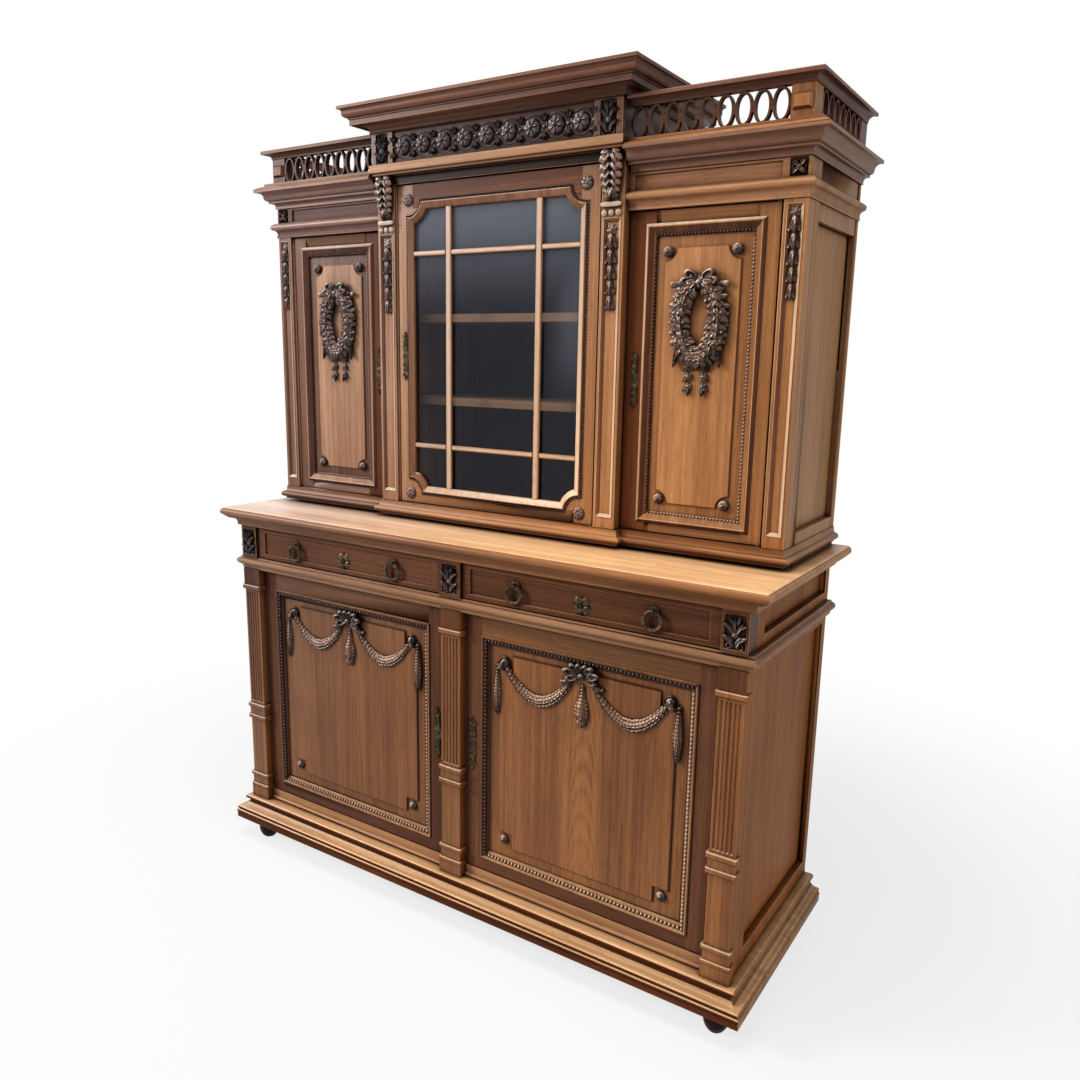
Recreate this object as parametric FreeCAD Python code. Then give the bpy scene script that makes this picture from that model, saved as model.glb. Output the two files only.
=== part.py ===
import FreeCAD, Part
import math
import os

# Two-part carved buffet, in millimetres: +Z up, front towards -Y, origin on the floor under its middle.

# Heights of the lower case
FOOT_TOP = 69.0
PLINTH_TOP = 142.0
BASE_RAIL_TOP = 176.0
LOWER_DOOR_Z = (179.0, 886.0)
POST_TOP = 889.0
WAIST_TOP = 926.0
DRAWER_Z = (929.0, 1019.0)
FRIEZE_TOP = 1022.0
SLAB_BOTTOM = 1048.0
COUNTER_TOP = 1074.0

# Heights of the upper case
SHADOW_GAP = 8.0
UPPER_FLOOR_Z = (1101.0, 1121.0)
WING_DOOR_Z = (1124.0, 1864.0)
CENTRE_DOOR_Z = (1124.0, 1974.0)
WING_POST_TOP = 1867.0
ASTRAGAL_TOP = 1907.0
WING_FRIEZE_TOP = 1949.0
CENTRE_POST_TOP = 1977.0
DECK_Z = (1985.0, 2003.0)
CORNICE_TOP = 2018.0
GALLERY_RAIL_Z = (2086.0, 2108.0)
CROWN_BAND_Z = (2007.0, 2026.0)
CROWN_FRIEZE_TOP = 2106.0
TOTAL_HEIGHT = 2170.0

# Depths, from the wall at the back to the foremost faces
BACK = 305.0
BACK_BOARD = 12.0
CARCASS_FRONT = -215.0
LOWER_FACE = -245.0
PILASTER_FACE = -265.0
BLOCK_FACE = -270.0
DRAWER_FACE = -262.0
UPPER_FRONT = -40.0
WING_DOOR_FACE = -75.0
WING_FACE = -84.0
CENTRE_DOOR_FACE = -95.0
CENTRE_FACE = -102.5
CROWN_FACE = -123.0

# Half widths and widths
CASE_HALF = 800.0
BOARD = 22.0
INNER_HALF = CASE_HALF - BOARD
PILASTER_X = 769.0
SHAFT_HALF = 31.0
POST_HALF = 38.0
CORNER_POST_X = 732.0
DOOR_GAP = 3.0
LOWER_DOOR_X = (41.0, 729.0)
WING_DOOR_X = (383.0, 741.0)
CENTRE_DOOR_HALF = 313.0
CENTRE_POST_X = (316.0, 380.0)
CENTRE_SHAFT_X = 320.0
WING_POST_X = 744.0
WING_SHAFT_X = 748.0
CROWN_HALF = 380.0
BASE_BREAK_X = 386.0
PARTITION_X = (340.0, 360.0)

# Sheet and panel thicknesses
LOWER_DOOR_THICK = 24.0
WING_DOOR_THICK = 22.0
CENTRE_DOOR_THICK = 24.0
PANEL_THICK = 10.0
SIDE_RECESS = 15.0
SHELF_THICK = 18.0
DIVIDER_HALF = 10.0
PLATE = 2.0

# Pivot pins let into the top and bottom of each door, and their running clearance
PIVOT_INSET = 6.0
PIVOT_R = 3.0
PIVOT_DEPTH = 15.0
PIVOT_END_GAP = 2.0
PIVOT_PLATE_R = 5.5
PIVOT_PLATE = 1.5
RUNNING_CLEARANCE = 0.05

# How far a cutting shape runs past what it cuts
OVERRUN = 1.0

# Drawers and their ring pulls
DRAWER_X = (38.0, 735.0)
DRAWER_CENTRE_X = 386.0
DRAWER_FRONT_THICK = 22.0
DRAWER_DEPTH = 390.0
DRAWER_WALL = 12.0
DRAWER_SINK = 5.0
RING_SPACING = 188.0
RING_Z = 964.0
RING_R = 21.5
RING_WIRE = 2.7
RING_PIVOT_UP = 20.0
RING_PIN_R = 1.5
KNOB_R = 6.0
RING_KNOB_GAP = 1.0
RING_Y = -267.0

# Gallery on the wings
GALLERY_HALF = 802.0
GALLERY_FACE = -94.0
GALLERY_POST = 50.0
FRET_THICK = 8.0
OVAL_WALL = 5.0
OVAL_EASE = 1.0
TIE_HALF = 9.0
FRONT_OVALS = 9
SIDE_OVALS = 7

# Feet and plinth
FOOT_X, FOOT_FRONT, FOOT_BACK = 770.0, -240.0, 245.0
FOOT_PROFILE = [(0, 0), (17, 0), (20, 3), (30, 24, 29, 44), (24, 56), (26, 60), (26, FOOT_TOP),
                (0, FOOT_TOP)]
PLINTH_LINE = (801.0, -260.0)
PLINTH_DEEP = 60.0
PLINTH_PROFILE = [(-PLINTH_DEEP, FOOT_TOP), (43, FOOT_TOP), (43, 84), (40, 84), (44.5, 90, 40, 96),
                  (38, 96), (42, 101.5, 37, 107), (33, 107), (19, 113, 14, 128), (17, 128),
                  (23.5, 135, 17, PLINTH_TOP), (-PLINTH_DEEP, PLINTH_TOP)]

# Floor and rails of the lower case
FLOOR_THICK = 20.0
RAIL_PROUD = 3.0
RAIL_BEAD_R = 6.0

# Pilaster stages from the plinth up: top height, half width, how far each stands before the shaft
STAGES = [(176, 36, 5), (188, 37, 7), (213, 33, 2), (225, 37, 7), (405, SHAFT_HALF, 0), (419, 37, 7),
          (442, 33, 2), (456, 37, 7), (824, SHAFT_HALF, 0), (838, 37, 7), (POST_TOP, 33, 2)]
FLUTES = 5
FLUTE_PITCH = 10.5
FLUTE_R = 4.0
FLUTE_SET = 1.5
FLUTE_Z = (466.0, 812.0)

# Framed sides
SIDE_STILE_FRONT = 40.0
SIDE_STILE_BACK = 30.0
LOWER_SIDE_RAILS = [(PLINTH_TOP, 186.0), (868.0, 950.0), (1020.0, SLAB_BOTTOM)]
UPPER_SIDE_RAILS = [(COUNTER_TOP, 1149.0), (1829.0, WING_FRIEZE_TOP)]
UPPER_STILE_FRONT = 32.0

# Backs, dividers and shelves of the lower case
BACK_BOARDS = 5
DUST_BOARD = 20.0
INSIDE_Y = (CARCASS_FRONT, BACK - BACK_BOARD)
LOWER_SHELF_Z = 520.0
LOWER_SHELF_BACKSET = 20.0

# Waist moulding and drawer runners
WAIST_LINE = -253.0
WAIST_PROFILE = [(0, POST_TOP), (10, POST_TOP), (10, 898), (13, 899, 17, 903), (22.5, 911.5, 17, 920),
                 (12, 922), (12, WAIST_TOP), (0, WAIST_TOP)]
RUNNER = 2.0
RUNNER_INSET = 6.0

# Frieze blocks and their plaques
BLOCK_HALF = 35.0
CORNER_BLOCK_X = (738.0, CASE_HALF)
PLAQUE_HALF = (24.5, 38.5)
PLAQUE_Z = 973.0
PLAQUE_SINK = 5.0
PLAQUE_THICK = 4.0
PLAQUE_EASE = 2.0

# Counter board
BED_LINE = -258.0
BED_PROFILE = [(0, FRIEZE_TOP), (14, FRIEZE_TOP), (14, 1027), (18, 1039, 34, 1044), (34, SLAB_BOTTOM),
               (0, SLAB_BOTTOM)]
SLAB_LINE = -254.0
SLAB_PROFILE = [(-1, SLAB_BOTTOM), (42, SLAB_BOTTOM), (42, 1052), (45, 1052), (51, 1061.5, 46, 1071),
                (44, 1072.5, 41, COUNTER_TOP), (-1, COUNTER_TOP)]

# Base, ceilings and shelves of the upper case
BASE_PROFILE = [(0, COUNTER_TOP + SHADOW_GAP), (4, COUNTER_TOP + SHADOW_GAP), (4, 1088), (9, 1088),
                (15, 1096, 9, 1104), (5, 1105), (2, 1113, 2, UPPER_FLOOR_Z[1]), (0, UPPER_FLOOR_Z[1])]
UPPER_Y = (UPPER_FRONT, BACK - BACK_BOARD)
CEILING_THICK = 18.0
CORNICE_DEEP = 22.0
CROWN_BOARD = 18.0
UPPER_SHELF_Z = (1396.0, 1622.0)
UPPER_SHELF_THICK = 22.0
UPPER_SHELF_BACKSET = 12.0

# Upper pilasters, husk drops and corbels
SUNK_DEPTH = 5.0
WING_SUNK = ((757.0, 791.0), (1150.0, 1856.0))
CENTRE_SUNK = ((328.0, 372.0), (1150.0, 1850.0))
HUSK_HALF = 12.0
HUSK_POINT = 4.0
HUSK_PROUD = 9.0
WING_HUSK_Z = (1657.0, 1852.0)
CENTRE_HUSK_Z = (1639.0, 1839.0)
CORBEL_Z = (1888.0, 2000.0)
CORBEL_HALF = 27.5
CORBEL_PROUD = (6.0, 20.0)
CORBEL_FILLET = 8.0

# Wing friezes and cornices
FRIEZE_PANEL = ((396.0, 740.0), (1911.0, 1943.0))
FRIEZE_SQUARE_X, FRIEZE_SQUARE_Z = 775.0, 1928.0
FRIEZE_SQUARE_HALF = (19.0, 18.0)
ASTRAGAL_PROFILE = [(0, WING_POST_TOP), (3, WING_POST_TOP), (3, 1872), (4, 1884, 12, 1889),
                    (17, 1896.5, 12, 1904), (8, ASTRAGAL_TOP), (0, ASTRAGAL_TOP)]
CORNICE_PROFILE = [(-CORNICE_DEEP, WING_FRIEZE_TOP), (4, WING_FRIEZE_TOP), (4, 1953), (6, 1961, 14, 1964),
                   (18, 1964), (18, 1970), (24, 1972, 28, 1980), (33, 1990, 43, 1993), (48, 1993),
                   (48, 2000), (40, 2006, 25, 2012), (25, CORNICE_TOP), (-CORNICE_DEEP, CORNICE_TOP)]

# Gallery rail and posts
RAIL_PROFILE = [(-16, GALLERY_RAIL_Z[0]), (2, GALLERY_RAIL_Z[0]), (5, 2096, 20, 2099), (24, 2099),
                (24, 2106), (22, GALLERY_RAIL_Z[1]), (-16, GALLERY_RAIL_Z[1])]
POST_BLOCK_HALF = (21.0, 16.5)
POST_BLOCK_PROUD = 8.0
POST_BLOCK_SLOPE = 5.0

# Crown
CROWN_WALL = 20.0
CROWN_PANEL_HALF = 306.0
CROWN_PLAQUE_X = 343.0
CROWN_PLAQUE_HALF = (21.0, 37.0)
CROWN_MID_Z = 2066.0
ARCHITRAVE_STEPS = [(UPPER_FRONT, CENTRE_POST_TOP), (CENTRE_FACE, CENTRE_POST_TOP), (CENTRE_FACE, 2000.0),
                    (-122.0, 2000.0), (-122.0, 2003.0), (-127.0, CROWN_BAND_Z[0]),
                    (UPPER_FRONT, CROWN_BAND_Z[0])]
BAND_FACE = -129.0
BAND_RETURN = 5.0
ROSETTES = 9
ROSETTE_PITCH = 67.6
ROSETTE_R = 23.0
ROSETTE_PROUD = 9.0
CROWN_PROFILE = [(0, CROWN_FRIEZE_TOP), (4, CROWN_FRIEZE_TOP), (7, 2120, 22, 2124), (40, 2124), (40, 2138),
                 (43, 2138), (43, 2142), (52, 2145, 55, 2154), (57, 2161, 62, 2163), (64, 2163),
                 (64, TOTAL_HEIGHT), (0, TOTAL_HEIGHT)]

# Lower doors
LOWER_OPENING_X = (89.0, 684.0)
LOWER_OPENING_Z = (213.0, 830.0)
LOWER_PANEL_SET = 11.0
LOWER_FIELD_X = (139.0, 633.0)
LOWER_FIELD_Z = (261.0, 793.0)
LOWER_NOTCH = 41.0
LOWER_FIELD_RISE = 5.0
BEAD_PROFILE = [(0, -LOWER_PANEL_SET), (0, 0), (4.5, 4, 9, 0), (10, -3), (15, -4.5, 17, -8), (22, -9.5),
                (22, -LOWER_PANEL_SET)]

# Swags, bow and drops
SWAG_X, SWAG_REACH, SWAG_LOW_X = 386.0, 230.0, 125.0
SWAG_TOP, SWAG_DIP, SWAG_THICK = 770.0, 682.0, 23.0
SWAG_START = 30.0
SWAG_END_WIDTH = 14.0
SWAG_PROUD = 10.0
BOW_HALF = (64.0, 28.0)
BOW_Z = 785.0
DROP_REACH = 252.0
DROPS = [(0.0, 14.0, 655.0), (-DROP_REACH, 10.0, 635.0), (DROP_REACH, 10.0, 635.0)]
DROP_TOP = 752.0
DROP_TAPER = 3.0
LOWER_BOSS = (228.0, 283.0, 13.5)
BOSS_PROUD = 8.0

# Wing doors
WING_OPENING_X = (450.0, 694.0)
WING_OPENING_Z = (1172.0, 1818.0)
WING_MOULD_X = (432.0, 712.0)
WING_MOULD_Z = (1154.0, 1836.0)
WING_PANEL_SET = 6.0
WING_FIELD_X = (474.0, 658.0)
WING_FIELD_Z = (1196.0, 1782.0)
WING_SCOOP = 30.0
WING_FIELD_RISE = 4.0
BOLECTION_PROFILE = [(0, 0), (0, 3), (2, 8.5, 8, 9), (13, 7, 16, 3), (20, 4.5, 24, 1.5),
                     (28, -WING_PANEL_SET), (18, -WING_PANEL_SET), (18, 0)]

# Wreaths
WREATH_X, WREATH_Z = 567.0, 1622.0
WREATH_OUTER = (73.0, 106.0)
WREATH_INNER = (19.0, 61.0)
WREATH_PROUD = 12.0
TAIL_X = (546.0, 583.0)
TAIL_HALF = 7.0
TAIL_LOW = 1454.0
WING_BOSS_R = 12.5
WING_BOSS_IN = 9.0

# Glazed door
GLASS_HALF = 262.0
GLASS_Z = (1170.0, 1914.0)
CORNER_R = 60.0
BAR_THICK = 9.0
BAR_X = 142.0
BAR_HALF = 9.0
CROSS_BAR_Z = (1286.0, 1798.0)
CROSS_BAR_HALF = 6.5
PANE_THICK = 3.0
PANE_EASE = 0.5
CENTRE_BOSS_R = 17.0
CENTRE_BOSS_OUT = (14.0, 21.0)
CENTRE_BOSS_PROUD = 5.5

# Locks: a keyhole plate in front of the stile and the case behind it, with the bolt drawn in
LOCK_CASE = (36.0, 60.0, 11.0)
LOCK_BACKSET = 4.0
LOWER_ESCUTCHEON = (60.0, 532.0, 12.5, 72.5)
WING_ESCUTCHEON = (408.0, 1484.0, 10.0, 65.0)
CENTRE_ESCUTCHEON = (-291.0, 1529.0, 10.0, 65.0)
KEYHOLE_R = 2.5

# Drawer parts
DRAWER_PANEL_X = (60.0, 708.0)
DRAWER_PANEL_EDGE = 12.0
DRAWER_BOTTOM_Z = (938.0, 946.0)
DRAWER_SIDE_TOP = 1010.0
ROSE_R, ROSE_THICK = 13.0, 3.0
STEM_R = 3.5
DRAWER_ESCUTCHEON_R = 22.0

V = FreeCAD.Vector
ORIGIN = V(0, 0, 0)
UP = V(0, 0, 1)
RIGHT = V(1, 0, 0)
FRONT = V(0, -1, 0)


# Shaping helpers

def block(x, y, z):
    """A board with square edges, from its (low, high) limits along each axis."""
    return Part.makeBox(x[1] - x[0], y[1] - y[0], z[1] - z[0], V(x[0], y[0], z[0]))


def mirrored(shape):
    """The same piece on the left-hand side."""
    return shape.mirror(ORIGIN, RIGHT)


def both(shapes):
    """Right-hand pieces together with their left-hand twins."""
    return shapes + [mirrored(shape) for shape in shapes]


def outline(steps, place):
    """Closed face: a step of 2 numbers is a corner, one of 4 is an arc's middle and end."""
    edges = []
    last = steps[0]
    for step in steps[1:] + [steps[0]]:
        end = step[-2:]
        if len(step) == 4:
            edges.append(Part.Arc(place(*last), place(*step[:2]), place(*end)).toShape())
        elif place(*last).distanceToPoint(place(*end)) > 1e-6:
            edges.append(Part.makeLine(place(*last), place(*end)))
        last = end
    return Part.Face(Part.Wire(edges))


def relief(steps, face, height):
    """A flat shape drawn in X and Z and raised forwards from the plane y = face."""
    return outline(steps, lambda x, z: V(x, face, z)).extrude(V(0, -height, 0))


def disc(x, z, radius, face, height):
    """A round boss raised forwards from the plane y = face."""
    return Part.makeCylinder(radius, height, V(x, face, z), FRONT)


def ellipse(x, z, half, face, height):
    """An upright oval plate raised forwards from the plane y = face."""
    wide, tall = half
    ends = [V(x + wide, face, z), V(x, face, z + tall)]
    if tall > wide:
        ends.reverse()
    edge = Part.Ellipse(ends[0], ends[1], V(x, face, z)).toShape()
    return Part.Face(Part.Wire([edge])).extrude(V(0, -height, 0))


def corner_vector(before, after):
    """How far a mitre moves sideways for each unit that a profile stands out."""
    return (before + after) * (1.0 / (1.0 + before.dot(after)))


def runs(path, profile, closed=False):
    """Mitred lengths of moulding; the outside lies to the right of the path's direction."""
    points = [V(x, y, 0) for x, y in path]
    ends = points[1:] + points[:1] if closed else points[1:]
    legs = list(zip(points, ends))
    ways = [(b - a).normalize() for a, b in legs]
    outs = [V(way.y, -way.x, 0) for way in ways]
    reach = [step[i] for step in profile for i in range(0, len(step), 2)]
    heights = [step[i] for step in profile for i in range(1, len(step), 2)]
    low, high = min(reach) - OVERRUN, max(reach) + OVERRUN
    spare = max(abs(low), abs(high)) + OVERRUN
    pieces = []
    for i, ((a, b), way, out) in enumerate(zip(legs, ways, outs)):
        before = outs[i - 1] if closed or i > 0 else out
        after = outs[(i + 1) % len(outs)] if closed or i + 1 < len(outs) else out
        start, stop = corner_vector(before, out), corner_vector(out, after)
        begin = a - way * spare
        bar = outline(profile, lambda o, z: begin + out * o + UP * z).extrude(b - a + way * (2 * spare))
        corners = [a + start * low, b + stop * low, b + stop * high, a + start * high]
        plan = Part.Face(Part.makePolygon(corners + corners[:1]))
        plan.translate(UP * (min(heights) - OVERRUN))
        mitre = plan.extrude(UP * (max(heights) - min(heights) + 2 * OVERRUN))
        pieces.append(bar.common(mitre).Solids[0])
    return pieces


def frame_mould(x, z, profile, face):
    """Four mitred lengths round a door opening, standing inwards from its edge, raised from face."""
    path = [(x[0], z[0]), (x[0], z[1]), (x[1], z[1]), (x[1], z[0])]
    pieces = runs(path, profile, closed=True)
    for piece in pieces:
        piece.rotate(ORIGIN, RIGHT, 90)
        piece.translate(V(0, face, 0))
    return pieces


def notched(x, z, notch):
    """A rectangle with a square bite out of each corner."""
    (a, b), (c, d), n = x, z, notch
    return [(a + n, c), (b - n, c), (b - n, c + n), (b, c + n), (b, d - n), (b - n, d - n),
            (b - n, d), (a + n, d), (a + n, d - n), (a, d - n), (a, c + n), (a + n, c + n)]


def scooped(x, z, radius):
    """A rectangle with a hollow quarter round at each corner."""
    (a, b), (c, d), r = x, z, radius
    m = r * math.sqrt(0.5)
    return [(a + r, c), (b - r, c), (b - m, c + m, b, c + r), (b, d - r), (b - m, d - m, b - r, d),
            (a + r, d), (a + m, d - m, a, d - r), (a, c + r), (a + m, c + m, a + r, c)]


def boards(count, x, y, z):
    """Upright back boards that fill a width side by side."""
    step = (x[1] - x[0]) / count
    return [block((x[0] + i * step, x[0] + (i + 1) * step), y, z) for i in range(count)]


def save(name, solids):
    """Writes one sub-part."""
    Part.makeCompound(solids).exportStep(f"parts/{name}.step")


# Lower case


def bun_feet():
    """Four turned feet."""
    section = outline(FOOT_PROFILE, lambda r, z: V(r, 0, z))
    foot = section.revolve(ORIGIN, UP, 360)
    feet = []
    for x in (-FOOT_X, FOOT_X):
        for y in (FOOT_FRONT, FOOT_BACK):
            copy = foot.copy()
            copy.translate(V(x, y, 0))
            feet.append(copy)
    save("bun_feet", feet)


def u_path(half, front):
    """Round the left side, the front and the right side of the case."""
    return [(-half, BACK), (-half, front), (half, front), (half, BACK)]


def plinth():
    """Moulded plinth on three sides, with a plain rail behind."""
    half, front = PLINTH_LINE
    rail_x = half - PLINTH_DEEP
    rail = block((-rail_x, rail_x), (BACK - BOARD, BACK), (FOOT_TOP, PLINTH_TOP))
    save("plinth", runs(u_path(half, front), PLINTH_PROFILE) + [rail])


def lower_floor():
    """Floor board, and the rail with a bead at its foot below each lower door."""
    floor = block((-INNER_HALF, INNER_HALF), (CARCASS_FRONT, BACK - BACK_BOARD),
                  (BASE_RAIL_TOP - FLOOR_THICK, BASE_RAIL_TOP))
    x = (POST_HALF, CORNER_POST_X)
    face = LOWER_FACE - RAIL_PROUD
    rail = block(x, (face, CARCASS_FRONT), (PLINTH_TOP, BASE_RAIL_TOP))
    bead = Part.makeCylinder(RAIL_BEAD_R, x[1] - x[0], V(x[0], face, PLINTH_TOP + RAIL_BEAD_R), RIGHT)
    save("lower_floor", [floor] + both([rail.fuse(bead).removeSplitter().Solids[0]]))


def lower_pilaster(x):
    """A post with its stacked pilaster and five stopped flutes."""
    post_x = (-POST_HALF, POST_HALF) if x == 0 else (CORNER_POST_X, CASE_HALF)
    shape = block(post_x, (LOWER_FACE, CARCASS_FRONT), (PLINTH_TOP, POST_TOP))
    foot = PLINTH_TOP
    stages = []
    for top, half, proud in STAGES:
        stages.append(block((x - half, x + half), (PILASTER_FACE - proud, LOWER_FACE), (foot, top)))
        foot = top
    shape = shape.multiFuse(stages).removeSplitter()
    for i in range(FLUTES):
        flute_x = x + (i - (FLUTES - 1) / 2) * FLUTE_PITCH
        start = V(flute_x, PILASTER_FACE - FLUTE_SET, FLUTE_Z[0])
        groove = Part.makeCylinder(FLUTE_R, FLUTE_Z[1] - FLUTE_Z[0], start, UP)
        ends = [Part.makeSphere(FLUTE_R, V(flute_x, PILASTER_FACE - FLUTE_SET, z)) for z in FLUTE_Z]
        shape = shape.cut(groove.multiFuse(ends))
    return shape.Solids[0]


def lower_pilasters():
    """Corner pilasters and the one between the doors."""
    corner = lower_pilaster(PILASTER_X)
    save("lower_pilasters", [lower_pilaster(0.0), corner, mirrored(corner)])


def framed_side(rails, front, stile):
    """Stiles, rails and sunk panels of a right-hand side."""
    x = (INNER_HALF, CASE_HALF)
    panel_x = (INNER_HALF, CASE_HALF - SIDE_RECESS)
    z = (rails[0][0], rails[-1][1])
    inner = (front + stile, BACK - SIDE_STILE_BACK)
    pieces = [block(x, (front, inner[0]), z), block(x, (inner[1], BACK), z)]
    pieces += [block(x, inner, rail) for rail in rails]
    for below, above in zip(rails, rails[1:]):
        pieces.append(block(panel_x, inner, (below[1], above[0])))
    return pieces


def lower_sides():
    """Framed and panelled sides of the lower case."""
    save("lower_sides", both(framed_side(LOWER_SIDE_RAILS, CARCASS_FRONT, SIDE_STILE_FRONT)))


def lower_back():
    """Upright boards behind the lower case."""
    save("lower_back", boards(BACK_BOARDS, (-INNER_HALF, INNER_HALF), (BACK - BACK_BOARD, BACK),
                              (PLINTH_TOP, SLAB_BOTTOM)))


def lower_divider():
    """Upright board between the cupboards, and one between the drawers."""
    x = (-DIVIDER_HALF, DIVIDER_HALF)
    save("lower_divider", [block(x, INSIDE_Y, (BASE_RAIL_TOP, WAIST_TOP - DUST_BOARD)),
                           block(x, INSIDE_Y, (WAIST_TOP, SLAB_BOTTOM))])


def lower_shelves():
    """One shelf in each lower cupboard."""
    shelf = block((DIVIDER_HALF, INNER_HALF), (CARCASS_FRONT + LOWER_SHELF_BACKSET, INSIDE_Y[1]),
                  (LOWER_SHELF_Z, LOWER_SHELF_Z + SHELF_THICK))
    save("lower_shelves", both([shelf]))


def waist_moulding():
    """Rail over the doors with a rounded moulding carried round the sides."""
    rail = block((-CASE_HALF, CASE_HALF), (WAIST_LINE, CARCASS_FRONT), (POST_TOP, WAIST_TOP))
    save("waist_moulding", runs(u_path(CASE_HALF, WAIST_LINE), WAIST_PROFILE) + [rail])


def drawer_runners():
    """Dust board under the drawers, with a thin runner beneath each drawer side."""
    board = block((-INNER_HALF, INNER_HALF), INSIDE_Y, (WAIST_TOP - DUST_BOARD, WAIST_TOP))
    left = DRAWER_X[0] + RUNNER_INSET
    right = DRAWER_X[1] - RUNNER_INSET
    strips = [block(x, INSIDE_Y, (WAIST_TOP, WAIST_TOP + RUNNER))
              for x in ((left, left + DRAWER_WALL), (right - DRAWER_WALL, right))]
    save("drawer_runners", [board] + both(strips))


def sunk(x, z, half, face):
    """The hollow that holds a carved plaque."""
    return block((x - half[0], x + half[0]), (face, face + PLAQUE_SINK), (z - half[1], z + half[1]))


def plaque(x, z, half, face):
    """A carved plaque, drawn plain, lying in its hollow."""
    wide, tall = half[0] - PLAQUE_EASE, half[1] - PLAQUE_EASE
    floor = face + PLAQUE_SINK
    return block((x - wide, x + wide), (floor - PLAQUE_THICK, floor), (z - tall, z + tall))


def frieze_blocks():
    """Blocks beside the drawers, and the rail above them."""
    z = (WAIST_TOP, FRIEZE_TOP)
    y = (BLOCK_FACE, CARCASS_FRONT)
    middle = block((-BLOCK_HALF, BLOCK_HALF), y, z).cut(sunk(0, PLAQUE_Z, PLAQUE_HALF, BLOCK_FACE))
    corner = block(CORNER_BLOCK_X, y, z).cut(sunk(PILASTER_X, PLAQUE_Z, PLAQUE_HALF, BLOCK_FACE))
    rail = block((-CASE_HALF, CASE_HALF), (BED_LINE, CARCASS_FRONT), (FRIEZE_TOP, SLAB_BOTTOM))
    save("frieze_blocks", [middle, rail] + both([corner]))


def counter_top():
    """Counter board with a moulded edge, and the hollow moulding below its overhang."""
    board = block((-CASE_HALF, CASE_HALF), (SLAB_LINE, BACK), (SLAB_BOTTOM, COUNTER_TOP))
    slab = board.multiFuse(runs(u_path(CASE_HALF, SLAB_LINE), SLAB_PROFILE)).removeSplitter().Solids[0]
    save("counter_top", [slab] + runs(u_path(CASE_HALF, BED_LINE), BED_PROFILE))


# Upper case


def upper_base():
    """Floor of the upper case, its front rails, and the base moulding that breaks forward in the middle."""
    half, jog = CASE_HALF, BASE_BREAK_X
    z = UPPER_FLOOR_Z
    floor = block((-INNER_HALF, INNER_HALF), (UPPER_FRONT, BACK - BACK_BOARD), z)
    rail_z = (COUNTER_TOP + SHADOW_GAP, z[1])
    middle = block((-jog, jog), (CENTRE_FACE, UPPER_FRONT), rail_z)
    wing = block((jog, half), (WING_FACE, UPPER_FRONT), rail_z)
    path = [(-half, BACK), (-half, WING_FACE), (-jog, WING_FACE), (-jog, CENTRE_FACE),
            (jog, CENTRE_FACE), (jog, WING_FACE), (half, WING_FACE), (half, BACK)]
    save("upper_base", [floor, middle] + both([wing]) + runs(path, BASE_PROFILE))


def upper_sides():
    """Framed and panelled sides of the upper case."""
    save("upper_sides", both(framed_side(UPPER_SIDE_RAILS, UPPER_FRONT, UPPER_STILE_FRONT)))


def upper_back():
    """Upright boards behind the upper case, and the board behind the crown."""
    y = (BACK - BACK_BOARD, BACK)
    crown = block((-CROWN_HALF, CROWN_HALF), y, (DECK_Z[1], CROWN_FRIEZE_TOP))
    upright = boards(BACK_BOARDS, (-INNER_HALF, INNER_HALF), y, (COUNTER_TOP, DECK_Z[1]))
    save("upper_back", upright + [crown])


def upper_partitions():
    """Upright boards between the glazed cupboard and the wings."""
    save("upper_partitions", both([block(PARTITION_X, UPPER_Y, (UPPER_FLOOR_Z[1], DECK_Z[1]))]))


def upper_roof():
    """Ceilings, the decks inside the galleries, and the top board of the crown."""
    wing_x = (PARTITION_X[1], INNER_HALF)
    ceiling = block(wing_x, UPPER_Y, (WING_FRIEZE_TOP, WING_FRIEZE_TOP + CEILING_THICK))
    deck = block((CROWN_HALF, INNER_HALF), (WING_FACE + CORNICE_DEEP, UPPER_Y[1]), DECK_Z)
    middle_z = (CENTRE_POST_TOP, CENTRE_POST_TOP + CEILING_THICK)
    middle = block((-PARTITION_X[0], PARTITION_X[0]), UPPER_Y, middle_z)
    top_z = (CROWN_FRIEZE_TOP, CROWN_FRIEZE_TOP + CROWN_BOARD)
    top = block((-CROWN_HALF, CROWN_HALF), (CROWN_FACE, BACK), top_z)
    save("upper_roof", [middle, top] + both([ceiling]) + both([deck]))


def upper_shelves():
    """Two shelves in each of the three upper cupboards."""
    y = (UPPER_FRONT + UPPER_SHELF_BACKSET, UPPER_Y[1])
    middle, wings = [], []
    for low in UPPER_SHELF_Z:
        z = (low, low + UPPER_SHELF_THICK)
        middle.append(block((-PARTITION_X[0], PARTITION_X[0]), y, z))
        wings.append(block((PARTITION_X[1], INNER_HALF), y, z))
    save("upper_shelves", middle + both(wings))


def post_with_panel(post_x, shaft_x, faces, top, hollow):
    """A door post with a pilaster on its face and a long sunk panel in that."""
    post_face, face = faces
    z = (UPPER_FLOOR_Z[1], top)
    right = max(post_x)
    post = block(post_x, (post_face, UPPER_FRONT), z)
    shaft = block((shaft_x, right), (face, post_face), z)
    panel = block(hollow[0], (face, face + SUNK_DEPTH), hollow[1])
    return post.fuse(shaft).removeSplitter().cut(panel).Solids[0]


def upper_pilasters():
    """Corner pilasters of the wings and those beside the glazed door."""
    wing = post_with_panel((WING_POST_X, CASE_HALF), WING_SHAFT_X, (WING_DOOR_FACE, WING_FACE),
                           WING_POST_TOP, WING_SUNK)
    centre = post_with_panel(CENTRE_POST_X, CENTRE_SHAFT_X, (CENTRE_DOOR_FACE, CENTRE_FACE),
                             CENTRE_POST_TOP, CENTRE_SUNK)
    save("upper_pilasters", both([wing, centre]))


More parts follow.
